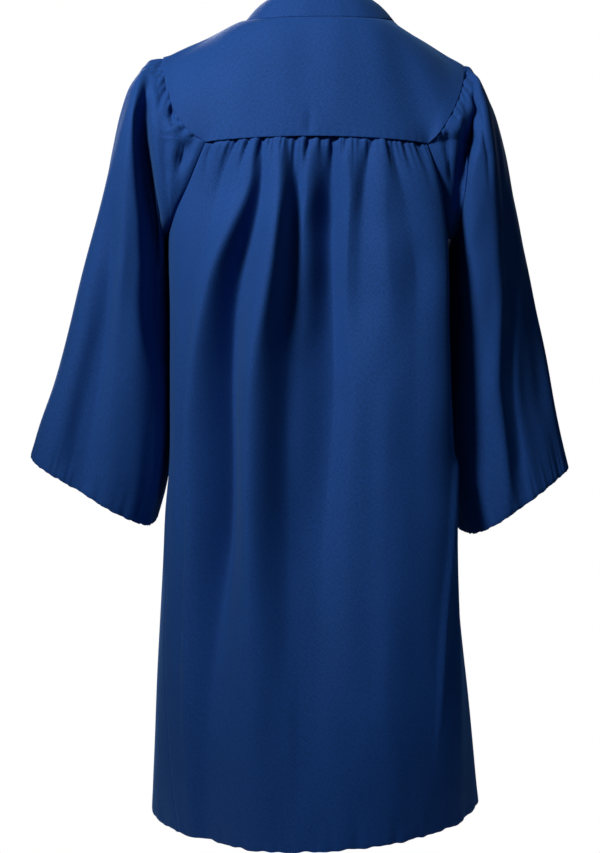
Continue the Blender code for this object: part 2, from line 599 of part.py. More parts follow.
def sleeve_section(around, along, side):
    """Plain sleeve ring: from its outer edge over the back to its inner edge and round the front."""
    rows = LEFT_SLEEVE if side > 0 else RIGHT_SLEEVE
    keys = column(rows, SLEEVE_COLUMNS, "along")
    value = {name: curve_through(keys, column(rows, SLEEVE_COLUMNS, name), along) for name in SLEEVE_COLUMNS}
    angle = np.asarray(around) * 2 * math.pi
    cosine = np.cos(angle)
    sine = np.sin(angle)
    reach = (np.abs(sine) ** SLEEVE_SQUARENESS + np.abs(cosine) ** SLEEVE_SQUARENESS) ** (-1 / SLEEVE_SQUARENESS)
    share = 0.5 + 0.5 * reach * cosine
    depth = np.where(sine > 0, value["back_y"], -value["front_y"])
    x = value["inner_x"] + (value["outer_x"] - value["inner_x"]) * share
    z = value["inner_z"] + (value["outer_z"] - value["inner_z"]) * share
    return np.stack([x, depth * reach * sine, z], axis=-1)


def sleeve_surface(around, along, side):
    """Sleeve point: the armhole edge eased into the plain rings, then the troughs pressed in."""
    around, along = np.broadcast_arrays(np.asarray(around, float), np.asarray(along, float))
    sewn = armhole_ring(around, side)
    plain = sleeve_section(around, along, side)
    eased = np.stack([smooth_step(along / 0.05), smooth_step(along / 0.10), smooth_step(along / 0.12)], axis=-1)
    point = sewn + (plain - sewn) * eased
    away = sleeve_section(around, 0.06, side) - sewn
    level = np.where(np.abs(around - 0.5) < 0.2, 0.25, 1.0)
    away = away * np.stack([np.ones_like(level), level, level], axis=-1)
    away = away / np.linalg.norm(away, axis=-1, keepdims=True)
    point = point + away * SLEEVE_SEAM_STEP * (1.0 - smooth_step(along / 0.05))[..., None]
    rows = LEFT_TROUGHS if side > 0 else RIGHT_TROUGHS
    keys = column(rows, TROUGH_COLUMNS, "height")
    value = {name: curve_through(keys, column(rows, TROUGH_COLUMNS, name), point[..., 2]) for name in TROUGH_COLUMNS}
    x = np.abs(point[..., 0])
    share = value["edge_step"] * smooth_step((x - value["edge_x"]) / 0.007)
    share = share + value["valley_share"] * np.exp(-(((x - value["valley_x"]) / value["valley_width"]) ** 2))
    share = share + value["outer_share"] * np.exp(-(((x - value["outer_x"]) / value["outer_width"]) ** 2))
    part = np.where(around < 0.5, around, 1.0 - around)
    wave = np.cos(2 * math.pi * HEAD_PLEATS * (part / 0.25 + 0.05 * np.sin(part * 37.0)))
    fade = smooth_step(along / 0.03) * np.exp(-((along / 0.13) ** 2)) * smooth_step((0.27 - part) / 0.05)
    share = share * smooth_step((along - 0.015) / 0.05) * np.where(around < 0.5, 1.0, 0.8)
    point = point.copy()
    point[..., 1] = point[..., 1] * (1.0 - share)
    lift = np.stack([side * 0.5 * np.ones_like(x), np.sign(0.5 - around) * 0.7, np.zeros_like(x)], axis=-1)
    return point + lift * (HEAD_PLEAT_DEPTH * wave * fade * smooth_step(part / 0.03))[..., None]


def sleeve_places(fine):
    """Places round the sleeve: closest along the gathered head, wider on the front."""
    head = 20 if fine else 10
    return np.concatenate([np.linspace(0, 0.2, head + 1), np.linspace(0.2, 0.5, 15)[1:],
                           np.linspace(0.5, 0.8, 9)[1:], np.linspace(0.8, 1.0, head * 4 // 5 + 1)[1:]])


def build_sleeve(name, side, material):
    plan = ((0.00, True), (0.02, True), (0.045, True), (0.075, True), (0.11, True), (0.16, False), (0.22, False),
            (0.29, False), (0.37, False), (0.46, False), (0.56, False), (0.66, False), (0.76, False),
            (0.86, False), (0.94, False), (1.00, False))
    rows = []
    for along, fine in plan:
        places = sleeve_places(fine)
        points = sleeve_surface(places, along, side)
        rows.append((places, points))
    return add_wall(name, rows if side < 0 else flip(rows), material, closed=True)


def front_line(height):
    """Centre line of the front cloth, where the zip lies."""
    turn = 2.0 * np.ones_like(np.asarray(height, float))
    return ring(turn, height)[..., 1]


def add_strip(name, low_x, high_x, front, back, material):
    """Flat strip that follows the centre front; front and back are distances behind the outer cloth face."""
    top = YOKE_CENTRE_HEIGHT - YOKE_SEAM_GAP
    downs = np.array(ROW_DOWNS[:ZIP_ROWS])
    heights = np.concatenate([[ZIP_TOP, (ZIP_TOP + top) / 2], top + downs * (HEM_HEIGHT - top)])
    line = front_line(heights)
    steps = len(heights)
    points = []
    for height, y in zip(heights, line):
        points.extend([(low_x, y + front, height), (high_x, y + front, height),
                       (high_x, y + back, height), (low_x, y + back, height)])
    faces = [(0, 1, 2, 3)]
    for index in range(steps - 1):
        first = index * 4
        for corner in range(4):
            after = (corner + 1) % 4
            faces.append((first + corner, first + 4 + corner, first + 4 + after, first + after))
    last = (steps - 1) * 4
    faces.append((last + 3, last + 2, last + 1, last))
    return add_object(name, points, faces, material, smooth=False)


def box(size, centre, frame):
    """Block mesh data in the slider's own frame."""
    made = bmesh.new()
    bmesh.ops.create_cube(made, size=1.0)
    bmesh.ops.scale(made, vec=Vector(size), verts=made.verts)
    bmesh.ops.translate(made, vec=Vector(centre), verts=made.verts)
    bmesh.ops.transform(made, matrix=frame, verts=made.verts)
    return made


def block_object(name, size, centre, frame, collection, material=None):
    made = box(size, centre, frame)
    mesh = bpy.data.meshes.new(name)
    made.to_mesh(mesh)
    made.free()
    if material:
        mesh.materials.append(material)
    block = bpy.data.objects.new(name, mesh)
    collection.objects.link(block)
    return block


def cylinder_object(name, radius, length, frame):
    made = bmesh.new()
    bmesh.ops.create_cone(made, cap_ends=True, segments=24, radius1=radius, radius2=radius, depth=length,
                          matrix=Matrix.Rotation(math.pi / 2, 4, "Y"))
    bmesh.ops.transform(made, matrix=frame, verts=made.verts)
    mesh = bpy.data.meshes.new(name)
    made.to_mesh(mesh)
    made.free()
    rod = bpy.data.objects.new(name, mesh)
    cutters.objects.link(rod)
    rod.hide_render = True
    rod.display_type = "WIRE"
    return rod


def hide_cutter(cutter):
    cutter.hide_render = True
    cutter.display_type = "WIRE"


def add_boolean(target, other, operation):
    step = target.modifiers.new(operation.lower(), "BOOLEAN")
    step.operation = operation
    step.solver = "EXACT"
    step.object = other


def build_zip(tape, metal):
    behind = CLOTH_WALL + SEAM_GAP + 0.0002
    add_strip("zip_tape_left", SEAM_GAP / 2, TAPE_WIDTH, behind, behind + TAPE_WALL, tape[0])
    add_strip("zip_tape_right", -TAPE_WIDTH, -SEAM_GAP / 2, behind, behind + TAPE_WALL, tape[1])
    add_strip("zip_chain", -CHAIN_WIDTH / 2, CHAIN_WIDTH / 2, -CHAIN_PROUD, CLOTH_WALL + 0.0002, metal[0])
    low = SLIDER_HEIGHT - 0.02
    high = SLIDER_HEIGHT + 0.006
    lean = math.atan2(float(front_line(low) - front_line(high)), high - low)
    seat = Vector((0.0, float(front_line(SLIDER_HEIGHT)) - CHAIN_PROUD - SEAM_GAP, SLIDER_HEIGHT))
    frame = Matrix.Translation(seat) @ Matrix.Rotation(lean, 4, "X")
    slider = block_object("zip_slider", (SLIDER_WIDTH, SLIDER_PLATE, SLIDER_LENGTH), (0, -SLIDER_PLATE / 2, 0),
                          frame, gown, metal[1])
    bevel = slider.modifiers.new("edges", "BEVEL")
    bevel.width = 0.0005
    bevel.segments = 2
    bail = block_object("bail_block", (BAIL_WIDTH, BAIL_RISE + 0.0004, BAIL_LENGTH),
                        (0, -SLIDER_PLATE - BAIL_RISE / 2 + 0.0002, 0), frame, cutters)
    hide_cutter(bail)
    add_boolean(slider, bail, "UNION")
    axis_y = -SLIDER_PLATE - BAIL_RISE / 2 - 0.0002
    hole = cylinder_object("bail_hole", BAIL_HOLE, 0.02, frame @ Matrix.Translation((0, axis_y, 0)))
    add_boolean(slider, hole, "DIFFERENCE")
    pull = block_object("zip_pull", (PULL_WIDTH, PULL_WALL, PULL_LENGTH),
                        (0, axis_y, PULL_BAR / 2 - PULL_LENGTH / 2), frame, gown, metal[2])
    window = block_object("pull_window", (PULL_WINDOW_WIDTH, 0.01, PULL_WINDOW_LENGTH),
                          (0, axis_y, -PULL_BAR / 2 - PULL_WINDOW_LENGTH / 2), frame, cutters)
    hide_cutter(window)
    add_boolean(pull, window, "DIFFERENCE")


for old in list(bpy.data.objects):
    bpy.data.objects.remove(old, do_unlink=True)

gown = bpy.data.collections.new("graduation_gown")
bpy.context.scene.collection.children.link(gown)
cutters = bpy.data.collections.new("cutters")
bpy.context.scene.collection.children.link(cutters)

blue = (0.021, 0.065, 0.226)
build_yoke(new_material("yoke_cloth", blue, 0.86))
build_collar(new_material("collar_cloth", blue, 0.86))
build_back(new_material("back_cloth", blue, 0.86))
build_front("front_left", 1, new_material("front_left_cloth", blue, 0.86))
build_front("front_right", -1, new_material("front_right_cloth", blue, 0.86))
build_sleeve("sleeve_left", 1, new_material("sleeve_left_cloth", blue, 0.86))
build_sleeve("sleeve_right", -1, new_material("sleeve_right_cloth", blue, 0.86))
build_zip((new_material("tape_left_weave", (0.016, 0.045, 0.16), 0.9),
           new_material("tape_right_weave", (0.016, 0.045, 0.16), 0.9)),
          (new_material("chain_plastic", (0.02, 0.055, 0.19), 0.45),
           new_material("slider_metal", (0.02, 0.05, 0.16), 0.35, 0.6),
           new_material("pull_metal", (0.02, 0.05, 0.16), 0.35, 0.6)))
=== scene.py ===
import math
import bpy
import numpy as np
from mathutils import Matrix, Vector


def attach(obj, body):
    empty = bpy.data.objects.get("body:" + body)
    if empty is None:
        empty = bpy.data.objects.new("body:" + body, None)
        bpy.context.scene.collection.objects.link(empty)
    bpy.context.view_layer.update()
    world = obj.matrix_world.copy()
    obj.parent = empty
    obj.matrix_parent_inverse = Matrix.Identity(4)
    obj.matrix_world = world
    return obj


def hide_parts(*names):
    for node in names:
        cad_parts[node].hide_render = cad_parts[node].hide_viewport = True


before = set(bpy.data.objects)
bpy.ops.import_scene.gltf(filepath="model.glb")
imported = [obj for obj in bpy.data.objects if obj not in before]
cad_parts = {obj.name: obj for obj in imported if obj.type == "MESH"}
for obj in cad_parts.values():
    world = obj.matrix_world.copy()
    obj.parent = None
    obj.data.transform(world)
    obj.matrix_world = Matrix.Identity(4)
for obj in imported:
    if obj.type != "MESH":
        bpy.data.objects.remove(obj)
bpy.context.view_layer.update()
print("frame loaded with", len(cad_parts), "nodes")

# the gown faces -Y, its back +Y, the wearer's left is +X; all sizes are metres
cloth = {"wall": 0.0008, "hemRadius": 0.0009}

body = {
    # height, centre x, half width, back depth, front depth, squareness
    "rings": np.array([
        (-0.140, 0.0000, 0.1950, 0.121, 0.0980, 3.00),
        (-0.190, 0.0020, 0.1990, 0.131, 0.1060, 3.00),
        (-0.300, 0.0060, 0.2035, 0.144, 0.1220, 3.00),
        (-0.420, 0.0060, 0.2035, 0.153, 0.1330, 2.90),
        (-0.560, 0.0060, 0.2035, 0.161, 0.1430, 2.80),
        (-0.650, 0.0060, 0.2050, 0.167, 0.1500, 2.70),
        (-0.720, 0.0055, 0.2115, 0.172, 0.1550, 2.60),
        (-0.780, 0.0050, 0.2150, 0.177, 0.1600, 2.50),
        (-0.870, 0.0045, 0.2210, 0.185, 0.1680, 2.40),
        (-1.015, 0.0000, 0.2325, 0.199, 0.1820, 2.20),
        (-1.120, -0.0030, 0.2400, 0.208, 0.1930, 1.93),
        (-1.180, -0.0050, 0.2435, 0.212, 0.1990, 1.74)]),
    # height, quarter turns from the centre back to the left and to the right side seam
    "sideSeams": np.array([
        (-0.320, 1.00, 1.00), (-0.500, 0.97, 0.99), (-0.620, 0.88, 0.97), (-0.720, 0.77, 0.95),
        (-0.820, 0.74, 0.96), (-0.900, 0.73, 0.96), (-1.000, 0.69, 0.94), (-1.100, 0.66, 0.96),
        (-1.180, 0.64, 0.98)]),
    # left turn, left height, right turn, right height, from the yoke corner to the underarm
    "armhole": np.array([
        (0.472, -0.187, 0.523, -0.189), (0.513, -0.215, 0.545, -0.214), (0.568, -0.250, 0.596, -0.246),
        (0.654, -0.282, 0.669, -0.285), (0.697, -0.294, 0.720, -0.300), (0.850, -0.314, 0.850, -0.316),
        (1.000, -0.3205, 1.000, -0.322)]),
    # metres of cloth in one quarter turn, along a side seam's ring and as a mean for the hem's waves
    "seamTurn": 0.54, "hemTurn": 0.33,
    "yokeMiddle": -0.180, "hemHeight": -1.1645, "hemTilt": 0.007, "seamGap": 0.00015,
}


def ease(value):
    # 0 below 0, 1 above 1, the smooth cubic between
    held = np.clip(value, 0.0, 1.0)
    return held * held * (3.0 - 2.0 * held)


def curveAt(keys, values, at):
    # cubic pieces through the given rows, slopes taken from the neighbouring rows
    keys, values = np.asarray(keys, float), np.asarray(values, float)
    if keys[0] > keys[-1]:
        keys, values = keys[::-1], values[::-1]
    slopes = np.gradient(values, keys)
    at = np.clip(np.asarray(at, float), keys[0], keys[-1])
    place = np.clip(np.searchsorted(keys, at, side="right") - 1, 0, len(keys) - 2)
    span = keys[place + 1] - keys[place]
    part = (at - keys[place]) / span
    square, cube = part ** 2, part ** 3
    return ((2 * cube - 3 * square + 1) * values[place] + (cube - 2 * square + part) * span * slopes[place]
            + (3 * square - 2 * cube) * values[place + 1] + (cube - square) * span * slopes[place + 1])


def ringValue(height, column):
    return curveAt(body["rings"][:, 0], body["rings"][:, column], height)


def sideTurn(height, side):
    seams = body["sideSeams"]
    turns = curveAt(seams[:, 0], seams[:, 1 if side > 0 else 2], height)
    return np.where(np.asarray(height) > seams[0, 0], 1.0, turns)


def cornerTurn(side):
    return body["armhole"][0, 0 if side > 0 else 2]


def topHeight(turn, side):
    # the yoke seam sags by the square of the turn, and past its corner the armhole rows take over
    turns = body["armhole"][:, 0 if side > 0 else 2]
    heights = body["armhole"][:, 1 if side > 0 else 3]
    seam = body["yokeMiddle"] + (heights[0] - body["yokeMiddle"]) * (turn / turns[0]) ** 2
    return np.where(turn <= turns[0], seam, curveAt(turns, heights, turn))


def bodyPoint(turn, height):
    # plan ring of the body: a rounded square of radius (|sin|^n + |cos|^n)^(-1/n), 0 centre back, 1 left, 2 front
    turn, height = np.broadcast_arrays(np.asarray(turn, float), np.asarray(height, float))
    sine, cosine = np.sin(turn * math.pi / 2), np.cos(turn * math.pi / 2)
    power = ringValue(height, 5)
    reach = (np.abs(sine) ** power + np.abs(cosine) ** power) ** (-1.0 / power)
    depth = np.where(cosine > 0, ringValue(height, 3), ringValue(height, 4))
    x = ringValue(height, 1) + ringValue(height, 2) * reach * sine
    return np.stack([x, depth * reach * cosine, height], axis=-1)


def bodyOut(turn, height):
    # level direction out of the ring, square to its own tangent
    ahead = bodyPoint(turn + 0.004, height) - bodyPoint(turn - 0.004, height)
    normal = np.stack([-ahead[..., 1], ahead[..., 0], np.zeros_like(ahead[..., 0])], axis=-1)
    return normal / np.linalg.norm(normal, axis=-1, keepdims=True)


def hemHeightAt(turn):
    return body["hemHeight"] - body["hemTilt"] * np.sin(turn * math.pi / 2)


def gridNormals(points, sign, closed):
    # cross product of the steps across and down the grid
    if closed:
        across = np.roll(points, -1, axis=1) - np.roll(points, 1, axis=1)
    else:
        across = np.gradient(points, axis=1)
    normal = np.cross(across, np.gradient(points, axis=0)) * sign
    return normal / np.maximum(np.linalg.norm(normal, axis=-1, keepdims=True), 1e-9)


def foldUnder(points, sign, closed, inner, radius):
    # half a turn of the edge round a small radius, then the last rows again, two radii further in
    inward = -gridNormals(points, sign, closed)
    ahead = points[-1] - points[-2]
    ahead = ahead / np.linalg.norm(ahead, axis=-1, keepdims=True)
    angles = np.linspace(0.0, math.pi, 5)[1:, None, None]
    roll = points[-1] + ahead * radius * np.sin(angles) + inward[-1] * radius * (1.0 - np.cos(angles))
    under = (points + inward * 2.0 * radius)[-2:-2 - inner:-1]
    return np.concatenate([points, roll, under])


def tuckUnder(points, sign, closed, reach, sink):
    # one more row behind the neighbour's edge: on along the cloth by reach, and inwards by sink
    inward = -gridNormals(points, sign, closed)[3]
    ahead = points[0] - points[4]
    ahead = ahead / np.linalg.norm(ahead, axis=-1, keepdims=True)
    rows = [points[0] + ahead * reach + inward * sink, points[0] + ahead * reach * 0.3 + inward * sink * 0.8]
    return np.concatenate([np.stack(rows), points])


def rollSides(points, sign, radius):
    # the two side edges turn in by a quarter circle, then cross behind the neighbour's, as a pressed seam does
    across = np.swapaxes(points, 0, 1)
    for end in (0, 1):
        across = across[::-1]
        inward = -np.swapaxes(gridNormals(np.swapaxes(across[::-1] if end == 0 else across, 0, 1), sign, False), 0, 1)
        inward = inward[::-1] if end == 0 else inward
        ahead = across[-1] - across[-2]
        ahead = ahead / np.linalg.norm(ahead, axis=-1, keepdims=True)
        angles = np.linspace(0.0, math.pi / 2, 4)[1:, None, None]
        bend = across[-1] + ahead * radius * (np.sin(angles) - 1.0) + inward[-1] * radius * (1.0 - np.cos(angles))
        wall = bend[-1:] + inward[-1:] * 0.0012 + ahead[-1:] * 0.0005
        across = np.concatenate([across[:-1], bend, wall])
    return np.swapaxes(across, 0, 1)


def gridPiece(name, points, sign, material, wall=0.0, closed=False):
    # quads over a grid of points, with a flat map in metres measured along the cloth
    rows, columns = points.shape[:2]
    index = np.arange(rows * columns).reshape(rows, columns)
    if closed:
        index = np.concatenate([index, index[:, :1]], axis=1)
        points = np.concatenate([points, points[:, :1]], axis=1)
    corners = [index[:-1, :-1], index[:-1, 1:], index[1:, 1:], index[1:, :-1]]
    quads = np.stack(corners if sign > 0 else corners[::-1], axis=-1).reshape(-1, 4)
    mesh = bpy.data.meshes.new(name)
    mesh.from_pydata(points[:, :columns].reshape(-1, 3).tolist(), [], quads.tolist())
    down = np.linalg.norm(np.diff(points, axis=0, prepend=points[:1]), axis=-1).cumsum(axis=0)
    along = np.linalg.norm(np.diff(points, axis=1, prepend=points[:, :1]), axis=-1).cumsum(axis=1)
    along = along - along[:, points.shape[1] // 2][:, None]
    flat = np.stack([along, -down], axis=-1)
    pick = [flat[:-1, :-1], flat[:-1, 1:], flat[1:, 1:], flat[1:, :-1]]
    layer = mesh.uv_layers.new(name="weave")
    layer.data.foreach_set("uv", np.stack(pick if sign > 0 else pick[::-1], axis=2).ravel())
    mesh.polygons.foreach_set("use_smooth", np.ones(len(quads), bool))
    mesh.materials.append(material)
    piece = bpy.data.objects.new(name, mesh)
    bpy.context.scene.collection.objects.link(piece)
    if wall:
        shell = piece.modifiers.new("wall", "SOLIDIFY")
        shell.thickness, shell.offset, shell.use_quality_normals = wall, -1.0, True
    return piece


def creaseRelief(creases, x, z):
    # each crease is a line of (x, z) points; depth fades from it with its own width on each side and at both ends
    total = np.zeros_like(x)
    for line, leftWidth, rightWidth, depth, keen, headOpen, tailOpen in creases:
        line = np.array(line, float)
        lengths = np.concatenate([[0.0], np.linalg.norm(np.diff(line, axis=0), axis=1).cumsum()])
        nearest = np.full(x.shape, 1e9)
        along, across = np.zeros_like(x), np.zeros_like(x)
        for start, end, base in zip(line[:-1], line[1:], lengths[:-1]):
            step = end - start
            size = np.linalg.norm(step)
            part = np.clip(((x - start[0]) * step[0] + (z - start[1]) * step[1]) / size ** 2, 0.0, 1.0)
            offX, offZ = x - start[0] - step[0] * part, z - start[1] - step[1] * part
            away = np.hypot(offX, offZ)
            closer = away < nearest
            nearest = np.where(closer, away, nearest)
            along = np.where(closer, base + part * size, along)
            across = np.where(closer, offX * -step[1] + offZ * step[0], across)
        share = along / lengths[-1]
        fade = np.where(headOpen, 1.0, ease(share / 0.35)) * np.where(tailOpen, 1.0, ease((1.0 - share) / 0.45))
        width = np.where(across > 0, leftWidth, rightWidth)
        total = total + depth * fade * np.exp(-(nearest / width) ** keen)
    return total


def foldRelief(folds, x, height):
    # long folds: a line, a width for its left and right flank and a depth that all change down the cloth
    keys = np.array([-0.200, -0.310, -0.450, -0.650, -0.900, -1.160])
    fall = np.clip((keys[0] - height) / (keys[0] - keys[-1]), 0.0, 1.0)
    total = np.zeros_like(x)
    for line, leftWidth, rightWidth, spread, depths, keen in folds:
        away = x - curveAt(keys, line, height)
        width = np.where(away > 0, leftWidth, rightWidth) * (1.0 + (spread - 1.0) * np.sqrt(fall))
        total = total + curveAt(keys, depths, height) * np.exp(-np.abs(away / width) ** keen)
    return total


# how every seam gather settles: length over which it leans, and over which it doubles in width
gatherShape = {"lean": 0.10, "widen": 0.07, "pinch": 0.006, "deeper": 1.5, "longer": 1.25, "keen": 1.6}


def gatherRelief(gathers, x, below):
    # short valleys that start pinched in the seam, lean as they fall, widen and die out
    total = np.zeros_like(x)
    settled = 1.0 - np.exp(-np.maximum(below, 0.0) / gatherShape["lean"])
    grown = 0.75 + 0.25 * ease(below / gatherShape["pinch"])
    for start, lean, width, depth, length in gathers:
        line = start + lean * gatherShape["lean"] * settled
        across = np.abs((x - line) / (width * (1.0 + below / gatherShape["widen"])))
        down = below / (gatherShape["longer"] * length)
        fade = np.exp(-across ** gatherShape["keen"]) * np.exp(-down ** gatherShape["keen"])
        total = total - gatherShape["deeper"] * depth * grown * fade
    return total


# ridge and valley lines of the back, left to right as seen from behind: x and relief at each height,
# the relief in steps of foldStep metres
foldStep = 0.0019
foldHeights = [-0.193, -0.250, -0.306, -0.361, -0.417, -0.486, -0.555, -0.638, -0.747, -0.855, -0.988, -1.135]
backLines = [
    ((0.196, 0.194, 0.194, 0.195, 0.197, 0.197, 0.197, 0.198, 0.199, 0.202, 0.205, 0.207),
     (0, 0, 0, 0, 0, 0, 0, 0, 0, 0, 0, 0)),
    ((0.122, 0.134, 0.149, 0.163, 0.175, 0.180, 0.184, 0.186, 0.186, 0.189, 0.191, 0.191),
     (-1, -4, -2, -2, -2.5, -2.5, -2.5, -2.5, -2, -1.5, 0, 0)),
    ((0.084, 0.091, 0.114, 0.137, 0.152, 0.166, 0.174, 0.177, 0.176, 0.180, 0.180, 0.178),
     (1, 3, 7, 7, 5, 4, 4, 4, 3, 3, 2, 0.5)),
    ((0.072, 0.074, 0.086, 0.105, 0.118, 0.128, 0.133, 0.134, 0.135, 0.142, 0.150, 0.156),
     (-1, -4, -8, -13, -18, -24, -27, -28, -26, -16, -8, -5)),
    ((0.048, 0.048, 0.053, 0.060, 0.070, 0.082, 0.088, 0.090, 0.088, 0.086, 0.080, 0.070),
     (1, 6, 10, 10, 9, 7, 6, 6, 5, 4, 3, 2)),
    ((0.029, 0.022, 0.024, 0.025, 0.029, 0.032, 0.035, 0.035, 0.034, 0.034, 0.038, 0.038),
     (-2, -7, -12, -14, -17, -18, -18, -18, -16, -9, -2, 0.5)),
    ((0.017, 0.010, 0.014, 0.014, 0.015, 0.015, 0.014, 0.012, 0.014, 0.014, 0.018, 0.018),
     (0, -2, -8, -11, -16, -20, -21, -21, -19, -11, -4, -0.5)),
    ((-0.025, -0.025, -0.025, -0.026, -0.028, -0.029, -0.029, -0.022, -0.011, -0.005, -0.001, -0.023),
     (-3, -13, -22, -25, -27, -28, -27, -25, -21, -12, -4, -1)),
    ((-0.043, -0.052, -0.050, -0.049, -0.049, -0.054, -0.060, -0.054, -0.051, -0.051, -0.050, -0.057),
     (0, -1, -6, -10, -14, -14, -12, -12, -10, -6, -1, 0)),
    ((-0.063, -0.070, -0.067, -0.063, -0.068, -0.076, -0.082, -0.082, -0.078, -0.078, -0.078, -0.084),
     (-1, -3, -7, -10, -12, -9, -8, -8, -7, -4, 0.5, 1)),
    ((-0.100, -0.101, -0.103, -0.106, -0.111, -0.107, -0.104, -0.104, -0.103, -0.106, -0.104, -0.115),
     (1, 3, 2, 2, 0, -3, -2.5, -2, -2, 0, 3, 2)),
    ((-0.116, -0.122, -0.127, -0.138, -0.139, -0.137, -0.137, -0.137, -0.136, -0.136, -0.132, -0.138),
     (-1, 2.4, 2.8, 2.2, 2.6, 2.6, 2.6, 2.6, 1.6, 1.8, 2, 1)),
    ((-0.160, -0.167, -0.170, -0.171, -0.171, -0.172, -0.174, -0.179, -0.186, -0.193, -0.199, -0.199),
     (0, 6, 10, 12, 13, 13, 13, 12, 10, 8, 6, 3)),
    ((-0.184, -0.185, -0.186, -0.186, -0.186, -0.187, -0.189, -0.195, -0.204, -0.214, -0.225, -0.232),
     (0, 0, 0, 0, 0, 0, 0, 0, 0, 0, 0, 0)),
]


def lineRelief(lines, x, height):
    # a smooth curve across the cloth through every line: level on each ridge and hollow, never overshooting
    across = -np.stack([curveAt(foldHeights, line[0], height) for line in lines])
    relief = np.stack([curveAt(foldHeights, np.array(line[1]) * foldStep, height) for line in lines])
    gap = np.maximum(np.diff(across, axis=0), 0.004)
    steep = np.diff(relief, axis=0) / gap
    same = steep[:-1] * steep[1:] > 0
    inner = np.where(same, 2.0 * steep[:-1] * steep[1:] / np.where(same, steep[:-1] + steep[1:], 1.0), 0.0)
    slope = np.concatenate([np.zeros_like(steep[:1]), inner, np.zeros_like(steep[:1])])
    total = relief[0].copy()
    for index in range(len(lines) - 1):
        part = np.clip((-x - across[index]) / gap[index], 0.0, 1.0)
        square, cube = part ** 2, part ** 3
        piece = ((2 * cube - 3 * square + 1) * relief[index] + (cube - 2 * square + part) * gap[index] * slope[index]
                 + (3 * square - 2 * cube) * relief[index + 1] + (cube - square) * gap[index] * slope[index + 1])
        total = np.where(part > 0, piece, total)
    return total


frontFolds = [
    ((-0.155, -0.158, -0.162, -0.165, -0.170, -0.176), 0.012, 0.012, 1.6, (0.002, 0.004, 0.004, 0.003, 0.003, 0.002),
     2.0),
    ((-0.118, -0.124, -0.132, -0.136, -0.138, -0.140), 0.011, 0.015, 1.7,
     (-0.006, -0.012, -0.010, -0.007, -0.005, -0.004), 1.8),
    ((-0.086, -0.092, -0.098, -0.100, -0.104, -0.108), 0.012, 0.010, 1.5, (0.004, 0.007, 0.006, 0.004, 0.003, 0.002),
     1.8),
    ((-0.056, -0.060, -0.062, -0.064, -0.066, -0.070), 0.010, 0.012, 1.7,
     (-0.006, -0.011, -0.007, -0.003, -0.002, -0.002), 1.8),
    ((0.048, 0.052, 0.056, 0.060, 0.062, 0.064), 0.011, 0.010, 1.7, (-0.005, -0.010, -0.008, -0.004, -0.003, -0.002),
     1.8),
    ((0.078, 0.084, 0.090, 0.094, 0.098, 0.102), 0.010, 0.013, 1.5, (0.004, 0.007, 0.006, 0.005, 0.003, 0.003), 1.8),
    ((0.108, 0.116, 0.126, 0.134, 0.138, 0.140), 0.014, 0.011, 1.7, (-0.006, -0.013, -0.011, -0.007, -0.005, -0.004),
     1.8),
    ((0.148, 0.152, 0.158, 0.164, 0.170, 0.176), 0.012, 0.012, 1.5, (0.002, 0.004, 0.004, 0.003, 0.003, 0.002), 2.0),
]


def makeGathers(seed, low, high, pitch, leans, share=1.0):
    # uneven row of seam gathers, leaning the way the cloth spreads; in a full share every third is a long one
    chance = np.random.default_rng(seed)
    count = int((high - low) / pitch)
    starts = np.linspace(low, high, count) + chance.uniform(-0.28, 0.28, count) * pitch
    lean = np.interp(starts, leans[0], leans[1]) + chance.uniform(-0.08, 0.08, count)
    width = chance.uniform(0.0019, 0.0032, count)
    depth = chance.uniform(0.0014, 0.0042, count)
    length = chance.uniform(0.014, 0.040, count)
    longer = (np.arange(count) % 3 == 1) & (share == 1.0)
    length = np.where(longer, chance.uniform(0.06, 0.16, count), length * share)
    depth = np.where(longer, depth * 0.9 + 0.0010, depth * share)
    return list(zip(starts, lean, width * (0.5 + 0.5 * share), depth, length))


backLeans = ((-0.18, -0.126, -0.10, -0.03, 0.0, 0.033, 0.06, 0.077, 0.12, 0.17),
             (-0.5, -0.35, -0.15, -0.02, 0.05, 0.08, 0.25, 0.30, 0.50, 0.70))
frontLeans = ((-0.17, -0.10, -0.04, 0.04, 0.10, 0.17), (-0.4, -0.15, -0.03, 0.03, 0.15, 0.4))
# start x at the seam, lean, half width, depth, length
backGathers = [
    (0.1448, 0.36, 0.0040, 0.0030, 0.040), (0.1079, 0.58, 0.0050, 0.0045, 0.062),
    (0.0908, 0.32, 0.0046, 0.0042, 0.042),
    (0.0708, 0.05, 0.0044, 0.0035, 0.060), (0.0561, 0.00, 0.0034, 0.0028, 0.026),
    (0.0372, 0.05, 0.0030, 0.0022, 0.018),
    (0.0253, 0.09, 0.0034, 0.0030, 0.040), (0.0045, 0.27, 0.0044, 0.0036, 0.055),
    (-0.0112, 0.00, 0.0032, 0.0024, 0.020),
    (-0.0293, 0.09, 0.0046, 0.0040, 0.050), (-0.0454, 0.14, 0.0038, 0.0036, 0.026),
    (-0.0637, 0.05, 0.0030, 0.0016, 0.016),
    (-0.0832, 0.23, 0.0055, 0.0046, 0.080), (-0.0919, -0.05, 0.0026, 0.0015, 0.016),
    (-0.1035, -0.40, 0.0046, 0.0038, 0.052),
    (-0.1279, -0.27, 0.0034, 0.0022, 0.026), (-0.1462, -0.36, 0.0046, 0.0034, 0.040)]
backGathers = backGathers + makeGathers(5, -0.166, 0.158, 0.0080, backLeans, 0.72)
frontGathers = makeGathers(8, -0.160, -0.030, 0.0095, frontLeans) + makeGathers(9, 0.030, 0.160, 0.0095, frontLeans)
backCreases = [([(-0.181, -0.640), (-0.180, -0.770), (-0.175, -0.870), (-0.172, -0.975), (-0.167, -1.075)],
                0.0026, 0.0048, 0.0056, 1.6, True, False)]


